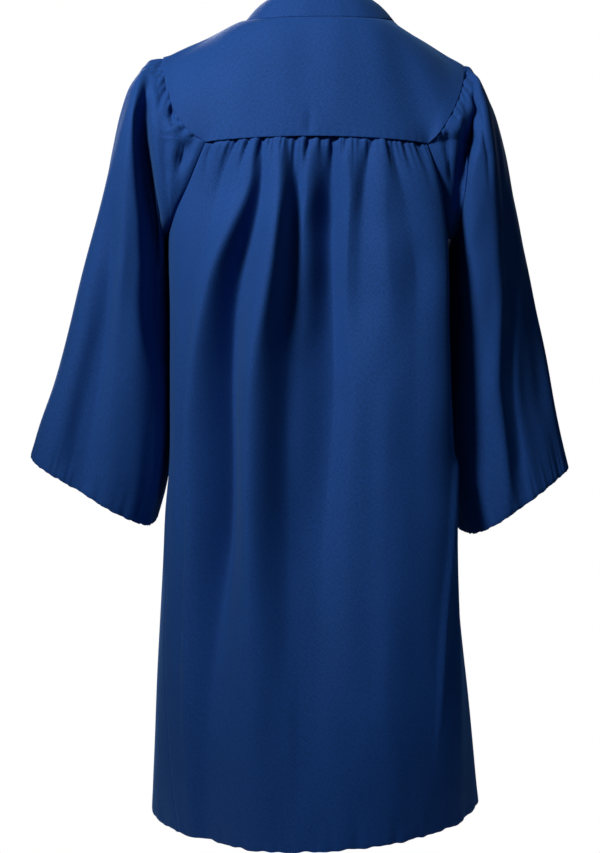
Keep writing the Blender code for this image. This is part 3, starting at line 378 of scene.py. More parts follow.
def drift(x, z, seed, sizes):
    # slow unevenness of hung cloth: a few seeded plane waves, longer down the cloth than across it
    chance = np.random.default_rng(seed)
    total = np.zeros_like(x)
    for wave, height in sizes:
        for repeat in range(3):
            lean = chance.uniform(-0.25, 0.25)
            phase = chance.uniform(0.0, 6.28)
            total = total + height * np.sin((x + lean * z) * 6.283 / wave + phase + 1.2 * np.sin(z * 9.0 + phase))
    return total


def bodySurface(turn, height, below, front):
    # plan ring plus every fold, pushed along the level outward direction
    base = bodyPoint(turn, height)
    x = base[..., 0]
    side = np.where(np.sin(turn * math.pi / 2) >= 0, 1.0, -1.0)
    seam = np.where(side > 0, sideTurn(height, 1), sideTurn(height, -1))
    calm = ease(np.abs(np.abs(turn) - seam) / 0.14)
    settled = 0.25 + 0.75 * ease(below / 0.05)
    relief = foldRelief(frontFolds, x, height) * settled if front else lineRelief(backLines, x, height)
    relief = relief * calm
    if not front:
        relief = relief + creaseRelief(backCreases, x, height) * calm
    uneven = drift(x, height, 31 if front else 21, ((0.13, 0.0004), (0.055, 0.00022)))
    relief = relief + uneven * calm * ease(below / 0.04)
    inside = 2.0 - np.abs(turn) if front else np.abs(turn)
    corner = np.where(side > 0, cornerTurn(1), cornerTurn(-1))
    gathers = gatherRelief(frontGathers if front else backGathers, x, below)
    gathers = gathers + 0.0016 * np.exp(-(below / 0.03) ** 2) * ease(below / 0.006)
    gathers = gathers * ease((corner + 0.02 - inside) / 0.05)
    groove = np.where(inside < corner, 0.0014 * (1.0 - ease(below / 0.004)), 0.0012 * np.exp(-(below / 0.004) ** 2))
    if front:
        flat = ease((np.abs(x) - 0.017) / 0.018)
        relief, gathers = relief * flat, gathers * flat
    return base + bodyOut(turn, height) * (relief + gathers - groove)[..., None]


def hemWave(place, away, seed):
    # the hem's pull on the cloth: uneven waves that die out a few centimetres above the edge
    chance = np.random.default_rng(seed)
    total = np.zeros_like(place)
    for length, height in ((0.052, 0.0007), (0.029, 0.0005), (0.017, 0.0003)):
        phase = chance.uniform(0.0, 6.28)
        total = total + height * np.sin(place * 6.283 / length + phase + 1.5 * np.sin(place * 11.0 + phase))
    return total * np.exp(-(away / 0.022) ** 1.5)


def panelRows(length, steps, hemRows):
    # distances down the panel: close under the seam, wider below, then the hem's own rows
    share = np.linspace(0.0, 1.0, steps) ** 1.5
    main = share[:, None] * (length - hemRows[0])[None, :]
    hem = length[None, :] - np.array(hemRows[1:])[:, None]
    return np.concatenate([main, hem])


hemRows = (0.030, 0.022, 0.013, 0.005, 0.0)


def buildBack(material):
    # columns run from the right side seam to the left one, closest together under the yoke
    middle = np.linspace(-0.53, 0.53, 285)
    outer = np.linspace(0.53, 1.0, 34)[1:]
    nominal = np.concatenate([-outer[::-1], middle, outer])
    top = np.where(nominal >= 0, topHeight(np.abs(nominal), 1), topHeight(np.abs(nominal), -1)) - 0.0004
    below = panelRows(top - hemHeightAt(nominal), 96, hemRows)
    height = top[None, :] - below
    gap = body["seamGap"] / body["seamTurn"]
    reach = np.where(nominal >= 0, sideTurn(height, 1), sideTurn(height, -1)) - gap
    turn = np.abs(nominal)[None, :] * reach * np.sign(nominal)[None, :]
    points = bodySurface(turn, height, below, False)
    away = height - hemHeightAt(nominal)[None, :]
    around = turn * body["hemTurn"]
    points = points + bodyOut(turn, height) * hemWave(around, away, 81)[..., None]
    points[..., 2] += hemWave(around, away, 82)
    points = rollSides(points, 1, 0.0012)
    points = tuckUnder(points, 1, False, 0.005, 0.0012)
    points = foldUnder(points, 1, False, 4, cloth["hemRadius"])
    return gridPiece("backCloth", points, 1, material, cloth["wall"])


zipSizes = {"top": -0.1630, "bottom": -1.0169, "halfGap": 0.0035, "closedGap": 0.00015,
            "tapeWall": 0.0006, "tapeBehind": 0.0011,
            "pitch": 0.0030, "toothDepth": 0.0020, "toothHeight": 0.00066, "proud": 0.0003,
            "stitchAway": 0.0088, "stitchPitch": 0.0030, "stitchLength": 0.0023, "threadHalf": 0.00024}


def zipEdge(height):
    # half the opening: wide beside the zip, closed under its foot
    closed = zipSizes["closedGap"]
    return closed + (zipSizes["halfGap"] - closed) * ease((height - zipSizes["bottom"] + 0.0115) / 0.01)


def buildFront(name, side, material):
    # columns run from the side seam to the zip edge
    places = np.concatenate([np.linspace(0, 0.42, 34), np.linspace(0.42, 1.0, 150)[1:]])
    nominal = 1.0 + places
    top = topHeight(2.0 - nominal, side) - 0.0004
    below = panelRows(top - hemHeightAt(side * nominal), 92, hemRows)
    height = top[None, :] - below
    start = sideTurn(height, side) + body["seamGap"] / body["seamTurn"]
    edge = zipEdge(height) - side * ringValue(height, 1)
    end = 2.0 - 2.0 / math.pi * np.arctan2(edge / ringValue(height, 2), 1.0)
    turn = side * (start + places[None, :] * (end - start))
    points = bodySurface(turn, height, below, True)
    away = height - hemHeightAt(side * nominal)[None, :]
    around = turn * body["hemTurn"]
    calm = ease((2.0 - np.abs(turn) - 0.06) / 0.1)
    points = points + bodyOut(turn, height) * (hemWave(around, away, 83) * calm)[..., None]
    points[..., 2] += hemWave(around, away, 84) * calm
    points = rollSides(points, side, 0.0012)
    points = tuckUnder(points, side, False, 0.005, 0.0012)
    points = foldUnder(points, side, False, 4, cloth["hemRadius"])
    return gridPiece(name, points, side, material, cloth["wall"])


def frontLine(height):
    return -ringValue(height, 4)


def buildTape(name, side, material):
    # narrow woven strip behind the cloth edge, following the front's own line
    height = np.linspace(zipSizes["top"], zipSizes["bottom"], 260)[:, None]
    across = np.array([0.0003, 0.0010, 0.0022, 0.0036, 0.0052, 0.0068, 0.0084, 0.0098, 0.0108, 0.0110])[None, :]
    height, across = np.broadcast_arrays(height, across)
    wavy = 0.00012 * np.sin(height * 210.0 + side) * ease((across - 0.004) / 0.004)
    points = np.stack([side * across, frontLine(height) + zipSizes["tapeBehind"] + wavy, height], axis=-1)
    return gridPiece(name, points, -side, material, zipSizes["tapeWall"])


def manyPiece(name, corners, faces, places, material, smooth):
    # one small shape repeated: corners is (shapes, points, 3) or one shape moved to every place
    shapes = corners + places[:, None, :]
    count, points = shapes.shape[:2]
    mesh = bpy.data.meshes.new(name)
    rows = [(np.array(face)[None, :] + np.arange(count)[:, None] * points).tolist() for face in faces]
    mesh.from_pydata(shapes.reshape(-1, 3).tolist(), [], [quad for row in rows for quad in row])
    mesh.polygons.foreach_set("use_smooth", np.full(len(mesh.polygons), smooth))
    mesh.materials.append(material)
    piece = bpy.data.objects.new(name, mesh)
    bpy.context.scene.collection.objects.link(piece)
    return piece


def buildChain(material):
    # moulded teeth, left and right in turn: each an eight-sided bar with a narrower nose
    angles = np.arange(8) * math.pi / 4 + math.pi / 8
    rings = [(-0.0028, 0.70), (-0.0020, 1.0), (-0.0001, 1.0), (0.0007, 0.62)]
    deep, high = 0.54 * zipSizes["toothDepth"], zipSizes["toothHeight"]
    tooth = np.array([(x, deep * share * math.cos(angle), high * share * math.sin(angle))
                      for x, share in rings for angle in angles])
    faces = [(low + step, low + (step + 1) % 8, low + 8 + (step + 1) % 8, low + 8 + step)
             for low in (0, 8, 16) for step in range(8)]
    faces = faces + [tuple(range(7, -1, -1)), tuple(range(24, 32))]
    count = int((zipSizes["top"] - zipSizes["bottom"] - 0.006) / (0.5 * zipSizes["pitch"]))
    height = zipSizes["top"] - 0.003 - 0.5 * zipSizes["pitch"] * np.arange(count)
    side = np.where(np.arange(count) % 2 == 0, 1.0, -1.0)
    depth = frontLine(height) - zipSizes["proud"] + 0.5 * zipSizes["toothDepth"]
    places = np.stack([np.zeros(count), depth, height], axis=-1)
    # a half turn about the upright axis makes the left tooth from the right one
    turned = tooth[None, :, :] * np.stack([-side, -side, np.ones(count)], axis=-1)[:, None, :]
    return manyPiece("zipTeeth", turned, faces, places, material, False)


def buildStitches(name, path, out, pitch, length, material):
    # each stitch is a small eight-faced spindle lying on the cloth along the row
    lengths = np.concatenate([[0.0], np.linalg.norm(np.diff(path, axis=0), axis=1).cumsum()])
    at = np.arange(0.5 * pitch, lengths[-1] - 0.5 * pitch, pitch)
    centre = np.stack([np.interp(at, lengths, path[:, axis]) for axis in range(3)], axis=-1)
    up = np.stack([np.interp(at, lengths, out[:, axis]) for axis in range(3)], axis=-1)
    run = np.stack([np.interp(at, lengths, np.gradient(path[:, axis], lengths)) for axis in range(3)], axis=-1)
    run = run / np.linalg.norm(run, axis=-1, keepdims=True)
    up = up - run * (up * run).sum(axis=-1, keepdims=True)
    up = up / np.linalg.norm(up, axis=-1, keepdims=True)
    wide = np.cross(run, up)
    half, thin = 0.5 * length, zipSizes["threadHalf"]
    corners = np.stack([-run * half - up * thin * 0.6, run * half - up * thin * 0.6, wide * thin, up * thin,
                        -wide * thin, -up * thin], axis=1)
    faces = [(1, 2, 3), (1, 3, 4), (1, 4, 5), (1, 5, 2), (0, 3, 2), (0, 4, 3), (0, 5, 4), (0, 2, 5)]
    return manyPiece(name, corners, faces, centre, material, True)


yoke = {
    "corner": 0.30, "shoulder": 0.52, "frontCorner": 0.74, "slump": 0.008, "neckShift": -0.010,
    # passes, place and width of the smoothing that rounds the cloth over its corners
    "rounding": (90, 0.28, 0.075),
    # share of the side, left x, left z, right x, right z, back y, front y
    "side": np.array([
        (0.16, 0.1710, -0.174, -0.1760, -0.175, 0.1060, -0.0890),
        (0.33, 0.1890, -0.153, -0.1915, -0.152, 0.0960, -0.0800),
        (0.55, 0.2040, -0.119, -0.2070, -0.120, 0.0720, -0.0590),
        (0.78, 0.2140, -0.083, -0.2165, -0.091, 0.0380, -0.0310),
        (1.00, 0.2195, -0.0575, -0.2205, -0.069, 0.0000, 0.0000)]),
    # around, neck edge x y z, how the cloth leaves it (out, back, down), how it reaches the seam (out, back, down)
    "neck": np.array([
        (0.00, 0.0000, 0.0780, -0.0080, 0.000, 0.026, 0.020, 0.000, 0.009, 0.062),
        (0.15, 0.0330, 0.0760, -0.0080, 0.012, 0.025, 0.019, 0.003, 0.010, 0.064),
        (0.30, 0.0680, 0.0640, -0.0080, 0.032, 0.022, 0.014, 0.006, 0.012, 0.068),
        (0.41, 0.0930, 0.0400, -0.0070, 0.040, 0.012, 0.011, 0.022, 0.016, 0.034),
        (0.52, 0.1080, 0.0040, -0.0060, 0.040, 0.000, 0.016, 0.036, 0.000, 0.017),
        (0.63, 0.1020, -0.0330, -0.0160, 0.034, -0.010, 0.010, 0.022, -0.014, 0.034),
        (0.74, 0.0850, -0.0600, -0.0450, 0.026, -0.014, 0.018, 0.005, -0.006, 0.050),
        (0.87, 0.0470, -0.0830, -0.1020, 0.006, -0.006, 0.022, 0.001, -0.003, 0.024),
        (1.00, 0.0035, -0.1000, -0.1600, 0.000, -0.001, 0.008, 0.000, -0.001, 0.008)]),
    # around, collar's free edge x y z
    "collar": np.array([
        (0.00, 0.0000, 0.0560, 0.0300), (0.15, 0.0260, 0.0540, 0.0300), (0.30, 0.0520, 0.0440, 0.0290),
        (0.41, 0.0670, 0.0260, 0.0270), (0.52, 0.0750, 0.0010, 0.0230), (0.63, 0.0730, -0.0300, 0.0060),
        (0.74, 0.0620, -0.0540, -0.0270), (0.87, 0.0330, -0.0790, -0.0850), (1.00, 0.0012, -0.0965, -0.1400)]),
}


def yokeEdge(around, side):
    # back seam on the body ring, then the side's own rows over the shoulder, then the front seam
    around = np.asarray(around, float)
    corner = cornerTurn(side)
    turn = corner * around / yoke["corner"]
    back = bodyPoint(side * turn, topHeight(turn, side))
    part = (1.0 - around) / (1.0 - yoke["frontCorner"])
    height = topHeight(corner * part, side)
    edge = zipSizes["halfGap"] - side * ringValue(height, 1)
    end = 2.0 / math.pi * np.arctan2(edge / ringValue(height, 2), 1.0)
    front = bodyPoint(side * (2.0 - end - (corner - end) * part), height)
    sides = {}
    for low, columns, first in ((yoke["corner"], (1, 5, 2), side * corner),
                                (yoke["frontCorner"], (1, 6, 2), side * (2.0 - corner))):
        columns = columns if side > 0 else (3, columns[1], 4)
        along = (around - low) / (yoke["shoulder"] - low)
        begin = bodyPoint(first, topHeight(np.array(corner), side))
        keys = np.concatenate([[0.0], yoke["side"][:, 0]])
        parts = [curveAt(keys, np.concatenate([[begin[axis]], yoke["side"][:, columns[axis]]]), along)
                 for axis in range(3)]
        sides[low] = np.stack(parts, axis=-1)
    middle = np.where((around <= yoke["shoulder"])[:, None], sides[yoke["corner"]], sides[yoke["frontCorner"]])
    points = np.where((around <= yoke["corner"])[:, None], back, middle)
    return np.where((around >= yoke["frontCorner"])[:, None], front, points)


def neckShift(reach, around, side):
    return side * reach + yoke["neckShift"] * (1.0 - ease((around - 0.6) / 0.38))


def settleFront(points, around):
    # the front tips lie on the flat of the front cloth, where the zip starts
    settled = points.copy()
    settled[..., 1] += (-ringValue(points[..., 2], 4) - points[..., 1]) * ease((around - 0.88) / 0.06)
    return settled


def neckLine(around, side):
    value = [curveAt(yoke["neck"][:, 0], yoke["neck"][:, column], around) for column in range(1, 10)]
    neck = np.stack([neckShift(value[0], around, side), value[1], value[2]], axis=-1)
    lead = np.stack([side * value[3], value[4], -value[5]], axis=-1)
    fall = np.stack([side * value[6], value[7], -value[8]], axis=-1)
    # the right shoulder hangs a little lower
    if side < 0:
        lead[:, 2] -= yoke["slump"] * np.exp(-((around - yoke["shoulder"]) / 0.16) ** 2)
    return neck, lead, fall


def yokeSurface(around, downs, side):
    # cubic curves from the neck edge to the outer edge, one for each place around
    neck, lead, fall = neckLine(around, side)
    outer = yokeEdge(around, side)
    down = downs[:, None, None]
    rest = 1.0 - down
    points = (neck * rest ** 3 + 3 * (neck + lead) * rest ** 2 * down
              + 3 * (outer - fall) * rest * down ** 2 + outer * down ** 3)
    return settleFront(points, np.broadcast_to(around, points.shape[:2]))


def buildYoke(material):
    # both halves side by side, from the right front tip over the back to the left front tip
    around = np.concatenate([np.linspace(0, 0.30, 60), np.linspace(0.30, 0.52, 34)[1:],
                             np.linspace(0.52, 0.74, 30)[1:], np.linspace(0.74, 1.0, 40)[1:]])
    downs = np.concatenate([np.linspace(0.0, 0.9, 40), [0.93, 0.955, 0.975, 0.99, 1.0]])
    left, right = yokeSurface(around, downs, 1), yokeSurface(around, downs, -1)
    points = np.concatenate([right[:, ::-1], left[:, 1:]], axis=1)
    signed = np.concatenate([-around[::-1], around[1:]])
    # each pass moves a point towards the middle of its two neighbours, most at the corners
    passes, place, width = yoke["rounding"]
    inner = (ease(downs / 0.16) * ease((1.0 - downs) / 0.16))[:, None, None]
    weight = inner * np.exp(-((np.abs(signed) - place) / width) ** 2)[None, 1:-1, None]
    for repeat in range(passes):
        points[:, 1:-1] += 0.45 * weight * (0.5 * points[:, :-2] + 0.5 * points[:, 2:] - points[:, 1:-1])
    normal = gridNormals(points, 1, False)
    inside = ease(downs / 0.08)[:, None] * ease((1.0 - downs) / 0.10)[:, None]
    uneven = drift(points[..., 0], points[..., 2], 41, ((0.16, 0.0006), (0.07, 0.0002))) * inside
    pucker = 0.00028 * np.cos(signed * 300.0 + 2.0 * np.sin(signed * 41.0))[None, :]
    pucker = pucker * np.exp(-((1.0 - downs) / 0.05) ** 2)[:, None] * ease((1.0 - downs) / 0.01)[:, None]
    dip = -0.0022 * np.exp(-((points[..., 0] - 0.006) / 0.006) ** 2) * np.exp(-((points[...,
                                                                                        2] + 0.165) / 0.022) ** 2)
    dip = dip * (points[..., 1] > 0) * ease((1.0 - downs) / 0.05)[:, None]
    # the seam under the collar pulls the cloth in
    groove = 0.0006 * np.exp(-(downs / 0.012) ** 2)[:, None]
    points = points + normal * (uneven + pucker + dip - groove)[..., None]
    points = tuckUnder(points, 1, False, 0.0060, 0.0002)
    points = foldUnder(points, 1, False, 3, 0.0007)
    return gridPiece("yokeCloth", points, 1, material, cloth["wall"])


def buildCollar(material):
    # the band folded double: up the outside, over the top and down the inside
    around = np.concatenate([np.linspace(0, 0.3, 36), np.linspace(0.3, 0.74, 50)[1:], np.linspace(0.74, 1.0, 34)[1:]])
    halves = []
    for side in (-1, 1):
        low = settleFront(neckLine(around, side)[0], around)
        high = [curveAt(yoke["collar"][:, 0], yoke["collar"][:, column], around) for column in (1, 2, 3)]
        high = np.stack([neckShift(high[0], around, side), high[1], high[2]], axis=-1)
        ups = np.array([1.0, 0.93, 0.8, 0.6, 0.4, 0.22, 0.1, 0.04, 0.0])[:, None, None]
        rise = low + (high - low) * ups
        rise[..., 2] += 0.004 * np.sin(math.pi * ups[..., 0]) * (1.0 - ease((around - 0.5) / 0.4))[None, :]
        halves.append(rise[:, ::-1] if side < 0 else rise[:, 1:])
    points = np.concatenate(halves, axis=1)
    normal = gridNormals(points, 1, False)
    points = points + normal * 0.0006
    outside = foldUnder(points, 1, False, 1, 0.0006)
    inward = -gridNormals(points, 1, False)
    ahead = points[0] - points[1]
    ahead = ahead / np.linalg.norm(ahead, axis=-1, keepdims=True)
    angles = np.linspace(math.pi, 0.0, 5)[:-1, None, None]
    crown = points[0] + ahead * 0.0008 * np.sin(angles) + inward[0] * 0.0008 * (1.0 - np.cos(angles))
    inside = (points + inward * 0.0016)[-2:0:-1]
    return gridPiece("collarCloth", np.concatenate([inside, crown, outside]), 1, material, 0.0006)


sleeve = {
    # along, outer x, outer z, inner x, inner z, back y, front y
    "left": np.array([
        (0.00, 0.2195, -0.0575, 0.2150, -0.3205, 0.100, -0.088),
        (0.05, 0.2394, -0.0660, 0.2160, -0.3340, 0.106, -0.094),
        (0.10, 0.2538, -0.0840, 0.2160, -0.3480, 0.109, -0.097),
        (0.15, 0.2656, -0.1015, 0.2155, -0.3620, 0.110, -0.098),
        (0.22, 0.2789, -0.1370, 0.2150, -0.3850, 0.110, -0.098),
        (0.32, 0.2922, -0.1900, 0.2150, -0.4180, 0.108, -0.097),
        (0.44, 0.3082, -0.2610, 0.2150, -0.4620, 0.106, -0.096),
        (0.55, 0.3262, -0.3320, 0.2150, -0.5050, 0.104, -0.095),
        (0.66, 0.3452, -0.4030, 0.2150, -0.5500, 0.102, -0.094),
        (0.80, 0.3732, -0.5064, 0.2165, -0.6222, 0.099, -0.092),
        (0.93, 0.4042, -0.5997, 0.2265, -0.6986, 0.096, -0.091),
        (1.00, 0.4152, -0.6400, 0.2385, -0.7425, 0.094, -0.090)]),
    "right": np.array([
        (0.00, -0.2205, -0.0690, -0.2035, -0.3220, 0.100, -0.088),
        (0.05, -0.2295, -0.0740, -0.2060, -0.3360, 0.105, -0.094),
        (0.10, -0.2384, -0.0850, -0.2070, -0.3500, 0.108, -0.097),
        (0.15, -0.2482, -0.1030, -0.2070, -0.3650, 0.109, -0.098),
        (0.22, -0.2636, -0.1370, -0.2070, -0.3880, 0.110, -0.098),
        (0.32, -0.2782, -0.1900, -0.2070, -0.4230, 0.108, -0.097),
        (0.44, -0.2932, -0.2610, -0.2070, -0.4680, 0.106, -0.096),
        (0.55, -0.3082, -0.3320, -0.2070, -0.5120, 0.104, -0.095),
        (0.66, -0.3228, -0.4030, -0.2070, -0.5580, 0.102, -0.094),
        (0.80, -0.3452, -0.5064, -0.2080, -0.6322, 0.099, -0.092),
        (0.93, -0.3672, -0.6077, -0.2130, -0.7116, 0.096, -0.091),
        (1.00, -0.3782, -0.6580, -0.2265, -0.7560, 0.094, -0.090)]),
    # height, edge x, edge step, valley x, valley width, valley share, outer x, outer width, outer share
    "leftTroughs": np.array([
        (-0.060, 0.2300, 0.00, 0.2290, 0.008, 0.00, 0.280, 0.012, 0.00),
        (-0.085, 0.2180, 0.00, 0.2320, 0.009, 0.10, 0.280, 0.012, 0.00),
        (-0.120, 0.2100, 0.02, 0.2380, 0.010, 0.26, 0.280, 0.012, 0.02),
        (-0.165, 0.2065, 0.04, 0.2420, 0.008, 0.38, 0.284, 0.013, 0.04),
        (-0.207, 0.2060, 0.05, 0.2410, 0.008, 0.42, 0.287, 0.014, 0.06),
        (-0.250, 0.2060, 0.07, 0.2370, 0.008, 0.46, 0.288, 0.014, 0.08),
        (-0.305, 0.2060, 0.09, 0.2300, 0.010, 0.48, 0.291, 0.015, 0.15),
        (-0.361, 0.2060, 0.12, 0.2280, 0.010, 0.50, 0.293, 0.015, 0.18),
        (-0.418, 0.2060, 0.14, 0.2270, 0.013, 0.50, 0.298, 0.016, 0.21),
        (-0.557, 0.2060, 0.14, 0.2090, 0.008, 0.58, 0.316, 0.019, 0.22),
        (-0.640, 0.2060, 0.12, 0.2140, 0.007, 0.52, 0.332, 0.021, 0.17),
        (-0.760, 0.2060, 0.08, 0.2290, 0.009, 0.26, 0.350, 0.022, 0.06)]),
    "rightTroughs": np.array([
        (-0.065, 0.2300, 0.00, 0.2290, 0.008, 0.00, 0.256, 0.012, 0.00),
        (-0.090, 0.2200, 0.00, 0.2300, 0.008, 0.08, 0.260, 0.012, 0.02),
        (-0.120, 0.2120, 0.02, 0.2320, 0.009, 0.16, 0.262, 0.010, 0.06),
        (-0.165, 0.2060, 0.05, 0.2250, 0.010, 0.28, 0.264, 0.010, 0.12),
        (-0.225, 0.1990, 0.08, 0.2080, 0.009, 0.42, 0.270, 0.010, 0.16),
        (-0.305, 0.1980, 0.12, 0.2020, 0.009, 0.50, 0.274, 0.011, 0.19),
        (-0.361, 0.1980, 0.16, 0.2000, 0.009, 0.52, 0.279, 0.012, 0.20),
        (-0.418, 0.1980, 0.18, 0.2000, 0.009, 0.50, 0.284, 0.013, 0.20),
        (-0.487, 0.1980, 0.18, 0.2000, 0.009, 0.50, 0.288, 0.016, 0.20),
        (-0.560, 0.1980, 0.16, 0.2000, 0.009, 0.48, 0.292, 0.019, 0.20),
        (-0.640, 0.1980, 0.14, 0.2040, 0.010, 0.40, 0.304, 0.022, 0.17),
        (-0.760, 0.1980, 0.06, 0.2250, 0.015, 0.16, 0.318, 0.022, 0.10)]),
    # width of the outer trough's outer and inner flank, slope past it, depth of the head's gathers
    "leftFlanks": (1.7, 0.75), "rightFlanks": (9.0, 1.0), "leftSlope": 0.0, "rightSlope": 1.3,
    "leftGathers": 1.6, "rightGathers": 1.0,
    "squareness": 2.6, "seamStep": 0.0011, "pleats": 7, "pleatDepth": 0.0034, "innerHook": 0.013,
    "cuffRows": (0.034, 0.026, 0.016, 0.006, 0.0),
}
# line of (x, z) points, outer and inner half width, relief, keenness, whether each end stays open
sleeveCreases = {
    "left": [
        ([(0.252, -0.120), (0.259, -0.165), (0.263, -0.207), (0.265, -0.250), (0.267, -0.305), (0.271, -0.361),
          (0.279, -0.430), (0.286, -0.520)], 0.0042, 0.0120, 0.0048, 1.8, False, False),
        ([(0.275, -0.205), (0.281, -0.319), (0.290, -0.418), (0.301, -0.532), (0.317, -0.617), (0.331, -0.674)],
         0.0130, 0.0090, -0.0032, 2.0, False, True),
        ([(0.302, -0.418), (0.325, -0.532), (0.351, -0.646)], 0.0140, 0.0120, -0.0026, 2.0, False, True),
        ([(0.302, -0.603), (0.314, -0.702)], 0.0080, 0.0080, -0.0020, 2.0, False, True),
        ([(0.199, -0.124), (0.2005, -0.147), (0.198, -0.170)], 0.0040, 0.0046, -0.0120, 1.7, False, False),
        ([(0.178, -0.176), (0.181, -0.190), (0.187, -0.210), (0.192, -0.240)], 0.0050, 0.0070, -0.0110, 1.8, False,
         False),
        ([(0.186, -0.166), (0.194, -0.166), (0.203, -0.176)], 0.0030, 0.0034, 0.0066, 1.8, False, False),
        ([(0.207, -0.098), (0.216, -0.115), (0.220, -0.140), (0.221, -0.170)], 0.0050, 0.0036, -0.0046, 1.7, True,
         False),
        ([(0.209, -0.120), (0.2075, -0.165), (0.2065, -0.225), (0.2045, -0.300)], 0.0120, 0.0016, -0.0080, 1.6,
         False, False),
        ([(0.217, -0.083), (0.234, -0.117), (0.244, -0.150), (0.244, -0.181), (0.237, -0.228), (0.229, -0.285),
          (0.220, -0.354), (0.216, -0.461)], 0.0070, 0.0060, -0.0060, 1.7, False, False)],
    "right": [
        ([(0.237, -0.113), (0.251, -0.163), (0.260, -0.205), (0.267, -0.319), (0.267, -0.418), (0.263, -0.532),
          (0.273, -0.617), (0.283, -0.702)], 0.0050, 0.0100, 0.0030, 2.0, False, True),
        ([(0.261, -0.149), (0.277, -0.220), (0.284, -0.319), (0.287, -0.418), (0.285, -0.532), (0.297, -0.646)],
         0.0090, 0.0090, -0.0015, 2.0, False, True),
        ([(0.217, -0.106), (0.229, -0.149), (0.236, -0.205)], 0.0030, 0.0040, 0.0025, 1.8, False, False),
        ([(0.223, -0.103), (0.237, -0.156), (0.247, -0.205), (0.250, -0.276)], 0.0040, 0.0040, -0.0030, 1.8, False,
         False),
        ([(0.212, -0.131), (0.217, -0.170), (0.217, -0.220), (0.213, -0.276)], 0.0040, 0.0040, -0.0040, 1.8, False,
         False),
        ([(0.189, -0.160), (0.189, -0.184), (0.193, -0.220), (0.197, -0.262)], 0.0040, 0.0040, -0.0060, 1.8, False,
         False)],
}


def armholeLine(around, side):
    # the edge the sleeve is sewn to: 0 shoulder, 0.2 yoke corner, 0.5 underarm, and back up the front
    around = np.mod(np.asarray(around, float), 1.0)
    corner = cornerTurn(side)
    halves = []
    for low, part, turnOf in ((yoke["corner"], around, lambda turn: turn),
                              (yoke["frontCorner"], 1.0 - around, lambda turn: 2.0 - turn)):
        upper = yokeEdge(yoke["shoulder"] + (low - yoke["shoulder"]) * np.clip(part / 0.2, 0.0, 1.0), side)
        turn = corner + (1.0 - corner) * np.clip((part - 0.2) / 0.3, 0.0, 1.0)
        lower = bodyPoint(side * turnOf(turn), topHeight(turn, side))
        halves.append(np.where((part <= 0.2)[:, None], upper, lower))
    return np.where((around < 0.5)[:, None], halves[0], halves[1])


def sleeveRing(around, along, side):
    # plain ring hung between the sleeve's outer and inner edges
    table = sleeve["left" if side > 0 else "right"]
    value = [curveAt(table[:, 0], table[:, column], along) for column in range(1, 7)]
    angle = around * 2 * math.pi
    cosine, sine = np.cos(angle), np.sin(angle)
    power = sleeve["squareness"]
    reach = (np.abs(sine) ** power + np.abs(cosine) ** power) ** (-1 / power)
    share = 0.5 + 0.5 * reach * cosine
    depth = np.where(sine > 0, value[4], -value[5])
    x = value[2] + (value[0] - value[2]) * share
    z = value[3] + (value[1] - value[3]) * share
    return np.stack([x, depth * reach * sine, z], axis=-1)


def sleevePleats(seed):
    # uneven head gathers: place round the sleeve, lean, width, depth and length down it
    chance = np.random.default_rng(seed)
    places = np.concatenate([np.linspace(0.008, 0.045, 6), 1.0 - np.linspace(0.008, 0.045, 6)])
    count = len(places)
    places = places + chance.uniform(-0.004, 0.004, count)
    length = np.where(np.arange(count) % 3 == 0, chance.uniform(0.10, 0.30, count), chance.uniform(0.03, 0.08, count))
    return list(zip(places, chance.uniform(-0.02, 0.02, count), chance.uniform(0.0026, 0.0045, count),
                    chance.uniform(0.0015, 0.0032, count), length))


def headCreases(side, front):
    # gathers along the yoke's side: each leaves the seam outwards, then falls, leaning the way the sleeve hangs
    chance = np.random.default_rng(71 + side + (4 if front else 0))
    low = yoke["frontCorner" if front else "corner"]
    count = 10
    places = low + (yoke["shoulder"] - low) * (np.linspace(0.06, 0.93, count) + chance.uniform(-0.035, 0.035, count))
    edge = np.abs(yokeEdge(places, side)[:, [0, 2]])
    drop = chance.uniform(0.012, 0.044, count) * np.where(np.arange(count) % 4 == 1, 1.8, 1.0)
    lean = chance.uniform(0.10, 0.34, count)
    width = chance.uniform(0.0021, 0.0034, count)
    depth = chance.uniform(0.0014, 0.0036, count) * sleeve["leftGathers" if side > 0 else "rightGathers"]
    rows = []
    for (x, z), fall, slant, half, sink in zip(edge, drop, lean, width, depth):
        line = [(x + 0.0005, -z), (x + 0.004, -z - 0.004), (x + 0.006 + 0.3 * slant * fall, -z - 0.4 * fall),
                (x + 0.006 + slant * fall, -z - fall)]
        rows.append((line, half, half * 1.5, -sink, 1.7, True, False))
    return rows


